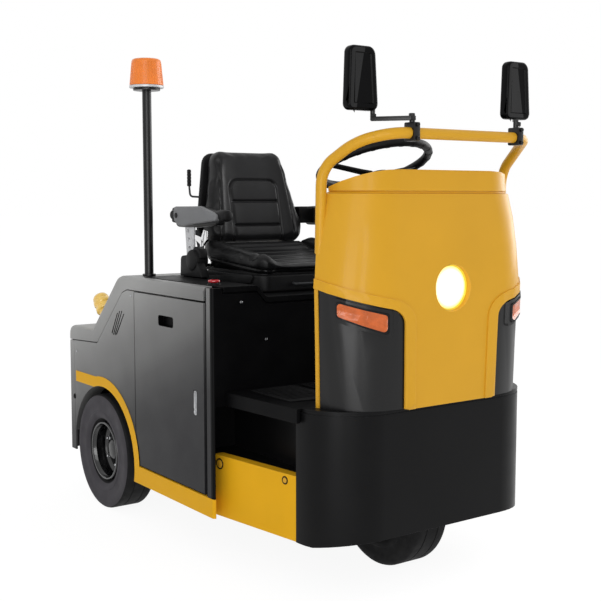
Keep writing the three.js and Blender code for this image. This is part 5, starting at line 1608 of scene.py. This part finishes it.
class TRACTOR_OT_screws(TractorOperator, bpy.types.Operator):
    """Screws of the tail panel, coupling plate, side panels and underside, and the body's grommets"""

    bl_idname = "tractor.screws"
    bl_label = "Screws"

    def execute(self, context):
        both = (-1, 1)
        # piece: CAD node, the way to look for its face (None: inwards from the side), radius, places
        rows = {
            "tail_screws": ("rear_panel", (0, -1, 0), 5.5, [(s * x, 1600, z) for s in both for x, z in (
                (470, 205), (470, 390), (470, 572), (240, 205), (240, 572))]),
            "coupling_bolts": ("tow_coupling", (0, -1, 0), 6.5,
                               [(s * 46, 1600, z) for s in both for z in (252, 346)]),
            "belly_bolts": ("chassis_frame", (0, 0, 1), 8, [(s * x, y, -60) for s in both for x, y in (
                (300, -120), (300, 330), (420, 470), (420, 700), (300, 900), (300, 1240))]),
            "side_screws": ("side_panel_{}", None, 4.5, [(s * 600, y, z) for s in both for y, z in (
                (800, 806), (1262, 560))]),
        }
        for name, (node, direction, radius, places) in rows.items():
            screws = []
            for place in places:
                side = "left" if place[0] > 0 else "right"
                ray = Vector(direction or (-1 if place[0] > 0 else 1, 0, 0))
                point, normal = touch(node.format(side), at(*place), ray)
                screws.append(spun("screw", [(0, -1), (radius, -1), (radius, 0.8), (radius * 0.84, 2.4),
                                             (radius * 0.45, 2.8), (radius * 0.36, 1.2), (0, 1.2)],
                                   facing(point, normal if normal.dot(ray) < 0 else -normal), 16))
            finished(joined(name, *screws), CHASSIS, "zinc_plate", "bright_metal")
        plugs = [spun("grommet", [(0, -1), (10, -1), (10, 1.4), (8, 2.4), (6, 1), (0, 0.6)],
                      facing(at(s * BODY_SIDE, 1288, 382), (s, 0, 0)), 24) for s in both]
        finished(joined("body_grommets", *plugs), CHASSIS, "mat_rubber", "tyre_rubber")
        return {"FINISHED"}


# CAD node that is shown as it is, finish, slot
KEPT = [
    ("chassis_frame", "black_powder_coat", "frame_steel"),
]


class TRACTOR_OT_kept(TractorOperator, bpy.types.Operator):
    """Finishes of the CAD nodes that are shown as they are"""

    bl_idname = "tractor.kept"
    bl_label = "Frame finish"

    def execute(self, context):
        for node, finish, slot in KEPT:
            NODES[node].data.materials.clear()
            NODES[node].data.materials.append(finish_of(finish))
        return {"FINISHED"}


FLOOR_CLOUDS = 0.7  # scale of the faint clouds in the floor's white
FLOOR_GLOW = 0.86  # how much of the floor the camera sees as plain backdrop; the rest keeps the shadow
BACKDROP = 1.07  # strength of that backdrop, at which the floor meets the white world without a line
CAMERA_PLACE = (-2129.8, -2482.8, 1143.6)
FOCAL_LENGTH, SENSOR = 63.49, 36  # millimetres
TURN, TILT = math.radians(35.612), math.radians(5.587)  # to the right of straight back, and down


class TRACTOR_OT_stage(TractorOperator, bpy.types.Operator):
    """Pale floor, soft studio light and the camera"""

    bl_idname = "tractor.stage"
    bl_label = "Stage"

    def execute(self, context):
        scene = context.scene
        stage = scene.tractor_stage
        self.floor(stage)
        self.world(scene, stage)
        self.lamp("key_lamp", (-3.6, -3.4, 3.2), stage.key, 2.6)
        self.lamp("rim_lamp", (3.2, -0.6, 1.9), stage.rim, 2.2)
        self.lamp("strip_lamp", (-2.9, -5.1, 1.3), stage.strip, 0.9, 2.6)
        self.lamp("sheen_lamp", (-2.67, -2.18, 0.8), stage.sheen, 1.2, 1.6, diffuse=False)
        self.camera(scene)
        scene.view_settings.view_transform = "Standard"
        return {"FINISHED"}

    def floor(self, stage):
        bpy.ops.object.select_all(action="DESELECT")
        bpy.ops.mesh.primitive_circle_add(vertices=96, radius=60, fill_type="NGON", location=(0, 0, 0))
        floor = named("studio_floor")
        material, tree, shader, place = new_material("matt_white_vinyl_floor")
        clouds = add_node(tree, "ShaderNodeTexNoise", [("Vector", place),
                                                       ("Scale", FLOOR_CLOUDS)]).outputs["Fac"]
        tone = add_node(tree, "ShaderNodeMix", [(MIX_FACTOR, clouds), (MIX_FIRST, stage.floor[:]),
                                                (MIX_SECOND, shade(stage.floor[:], 0.985))],
                        data_type="RGBA").outputs[MIXED]
        tree.links.new(tone, shader.inputs["Base Color"])
        shader.inputs["Roughness"].default_value = 0.9
        shader.inputs["Specular IOR Level"].default_value = 0.0
        glow = add_node(tree, "ShaderNodeEmission", [("Strength", BACKDROP)])
        share = add_node(tree, "ShaderNodeMath", enumerate((self.seen(tree), FLOOR_GLOW)),
                         operation="MULTIPLY").outputs[0]
        both = add_node(tree, "ShaderNodeMixShader", [(0, share), (1, shader.outputs[0]),
                                                      (2, glow.outputs[0])])
        tree.links.new(both.outputs[0], tree.nodes["Material Output"].inputs["Surface"])
        floor.data.materials.append(material)

    def seen(self, tree):
        """1 for what the camera sees, straight or in metal and glass."""
        path = add_node(tree, "ShaderNodeLightPath")
        pair = add_node(tree, "ShaderNodeMath", [(0, path.outputs["Is Camera Ray"]),
                                                 (1, path.outputs["Is Glossy Ray"])], operation="MAXIMUM")
        return add_node(tree, "ShaderNodeMath", [(0, pair.outputs[0]),
                                                 (1, path.outputs["Is Transmission Ray"])],
                        operation="MAXIMUM").outputs[0]

    def world(self, scene, stage):
        scene.world = bpy.data.worlds.new("studio")
        scene.world.use_nodes = True
        tree = scene.world.node_tree
        background = tree.nodes["Background"]
        background.inputs["Color"].default_value = (1, 1, 1, 1)
        strength = add_node(tree, "ShaderNodeMapRange", enumerate((self.seen(tree), 0, 1, stage.fill, 1.0)))
        tree.links.new(strength.outputs[0], background.inputs["Strength"])

    def lamp(self, name, place, power, size, height=None, diffuse=True):
        light = bpy.data.lights.new(name, "AREA")
        light.shape = "RECTANGLE"
        light.energy, light.size, light.size_y = power, size, height or size
        lamp = bpy.data.objects.new(name, light)
        bpy.context.scene.collection.objects.link(lamp)
        lamp.visible_camera, lamp.visible_diffuse = False, diffuse
        lamp.location = place
        lamp.rotation_euler = (Vector((0, 0, 0.6)) - lamp.location).to_track_quat("-Z", "Y").to_euler()

    def camera(self, scene):
        ahead = Vector((math.sin(TURN) * math.cos(TILT), math.cos(TURN) * math.cos(TILT), -math.sin(TILT)))
        right = Vector((math.cos(TURN), -math.sin(TURN), 0))
        lens = bpy.data.cameras.new("studio_camera")
        lens.lens = FOCAL_LENGTH
        lens.sensor_width = SENSOR
        camera = bpy.data.objects.new("studio_camera", lens)
        scene.collection.objects.link(camera)
        axes = Matrix((right, right.cross(ahead), -ahead)).transposed().to_4x4()
        camera.matrix_world = Matrix.Translation(at(*CAMERA_PLACE)) @ axes
        scene.camera = camera


class TRACTOR_PT_sidebar(bpy.types.Panel):
    """Sizes, colours and the operators that build the tractor"""

    bl_idname = "TRACTOR_PT_sidebar"
    bl_label = "Tow Tractor"
    bl_space_type = "VIEW_3D"
    bl_region_type = "UI"
    bl_category = "Tow Tractor"

    def draw(self, context):
        for group in (colours(), sizes(), context.scene.tractor_stage):
            column = self.layout.column()
            for key in group.__annotations__:
                column.prop(group, key)
        for operator in OPERATORS:
            self.layout.operator(operator.bl_idname)


OPERATORS = [
    TRACTOR_OT_panels,
    TRACTOR_OT_tyres,
    TRACTOR_OT_rims,
    TRACTOR_OT_steering_wheel,
    TRACTOR_OT_handrail,
    TRACTOR_OT_mirrors,
    TRACTOR_OT_lamps,
    TRACTOR_OT_seat,
    TRACTOR_OT_armrests,
    TRACTOR_OT_belt,
    TRACTOR_OT_seat_levers,
    TRACTOR_OT_door_fittings,
    TRACTOR_OT_step_fittings,
    TRACTOR_OT_controls,
    TRACTOR_OT_battery,
    TRACTOR_OT_screws,
    TRACTOR_OT_kept,
    TRACTOR_OT_stage,
]
CLASSES = [TowTractorColours, TowTractorSizes, TowTractorStage, *OPERATORS, TRACTOR_PT_sidebar]


def register():
    for each in CLASSES:
        bpy.utils.register_class(each)
    bpy.types.Scene.tractor_colours = bpy.props.PointerProperty(type=TowTractorColours)
    bpy.types.Scene.tractor_sizes = bpy.props.PointerProperty(type=TowTractorSizes)
    bpy.types.Scene.tractor_stage = bpy.props.PointerProperty(type=TowTractorStage)


def unregister():
    del bpy.types.Scene.tractor_stage
    del bpy.types.Scene.tractor_sizes
    del bpy.types.Scene.tractor_colours
    for each in reversed(CLASSES):
        bpy.utils.unregister_class(each)


def main():
    register()
    for operator in OPERATORS:
        family, call = operator.bl_idname.split(".")
        getattr(getattr(bpy.ops, family), call)()


if __name__ == "__main__":
    main()
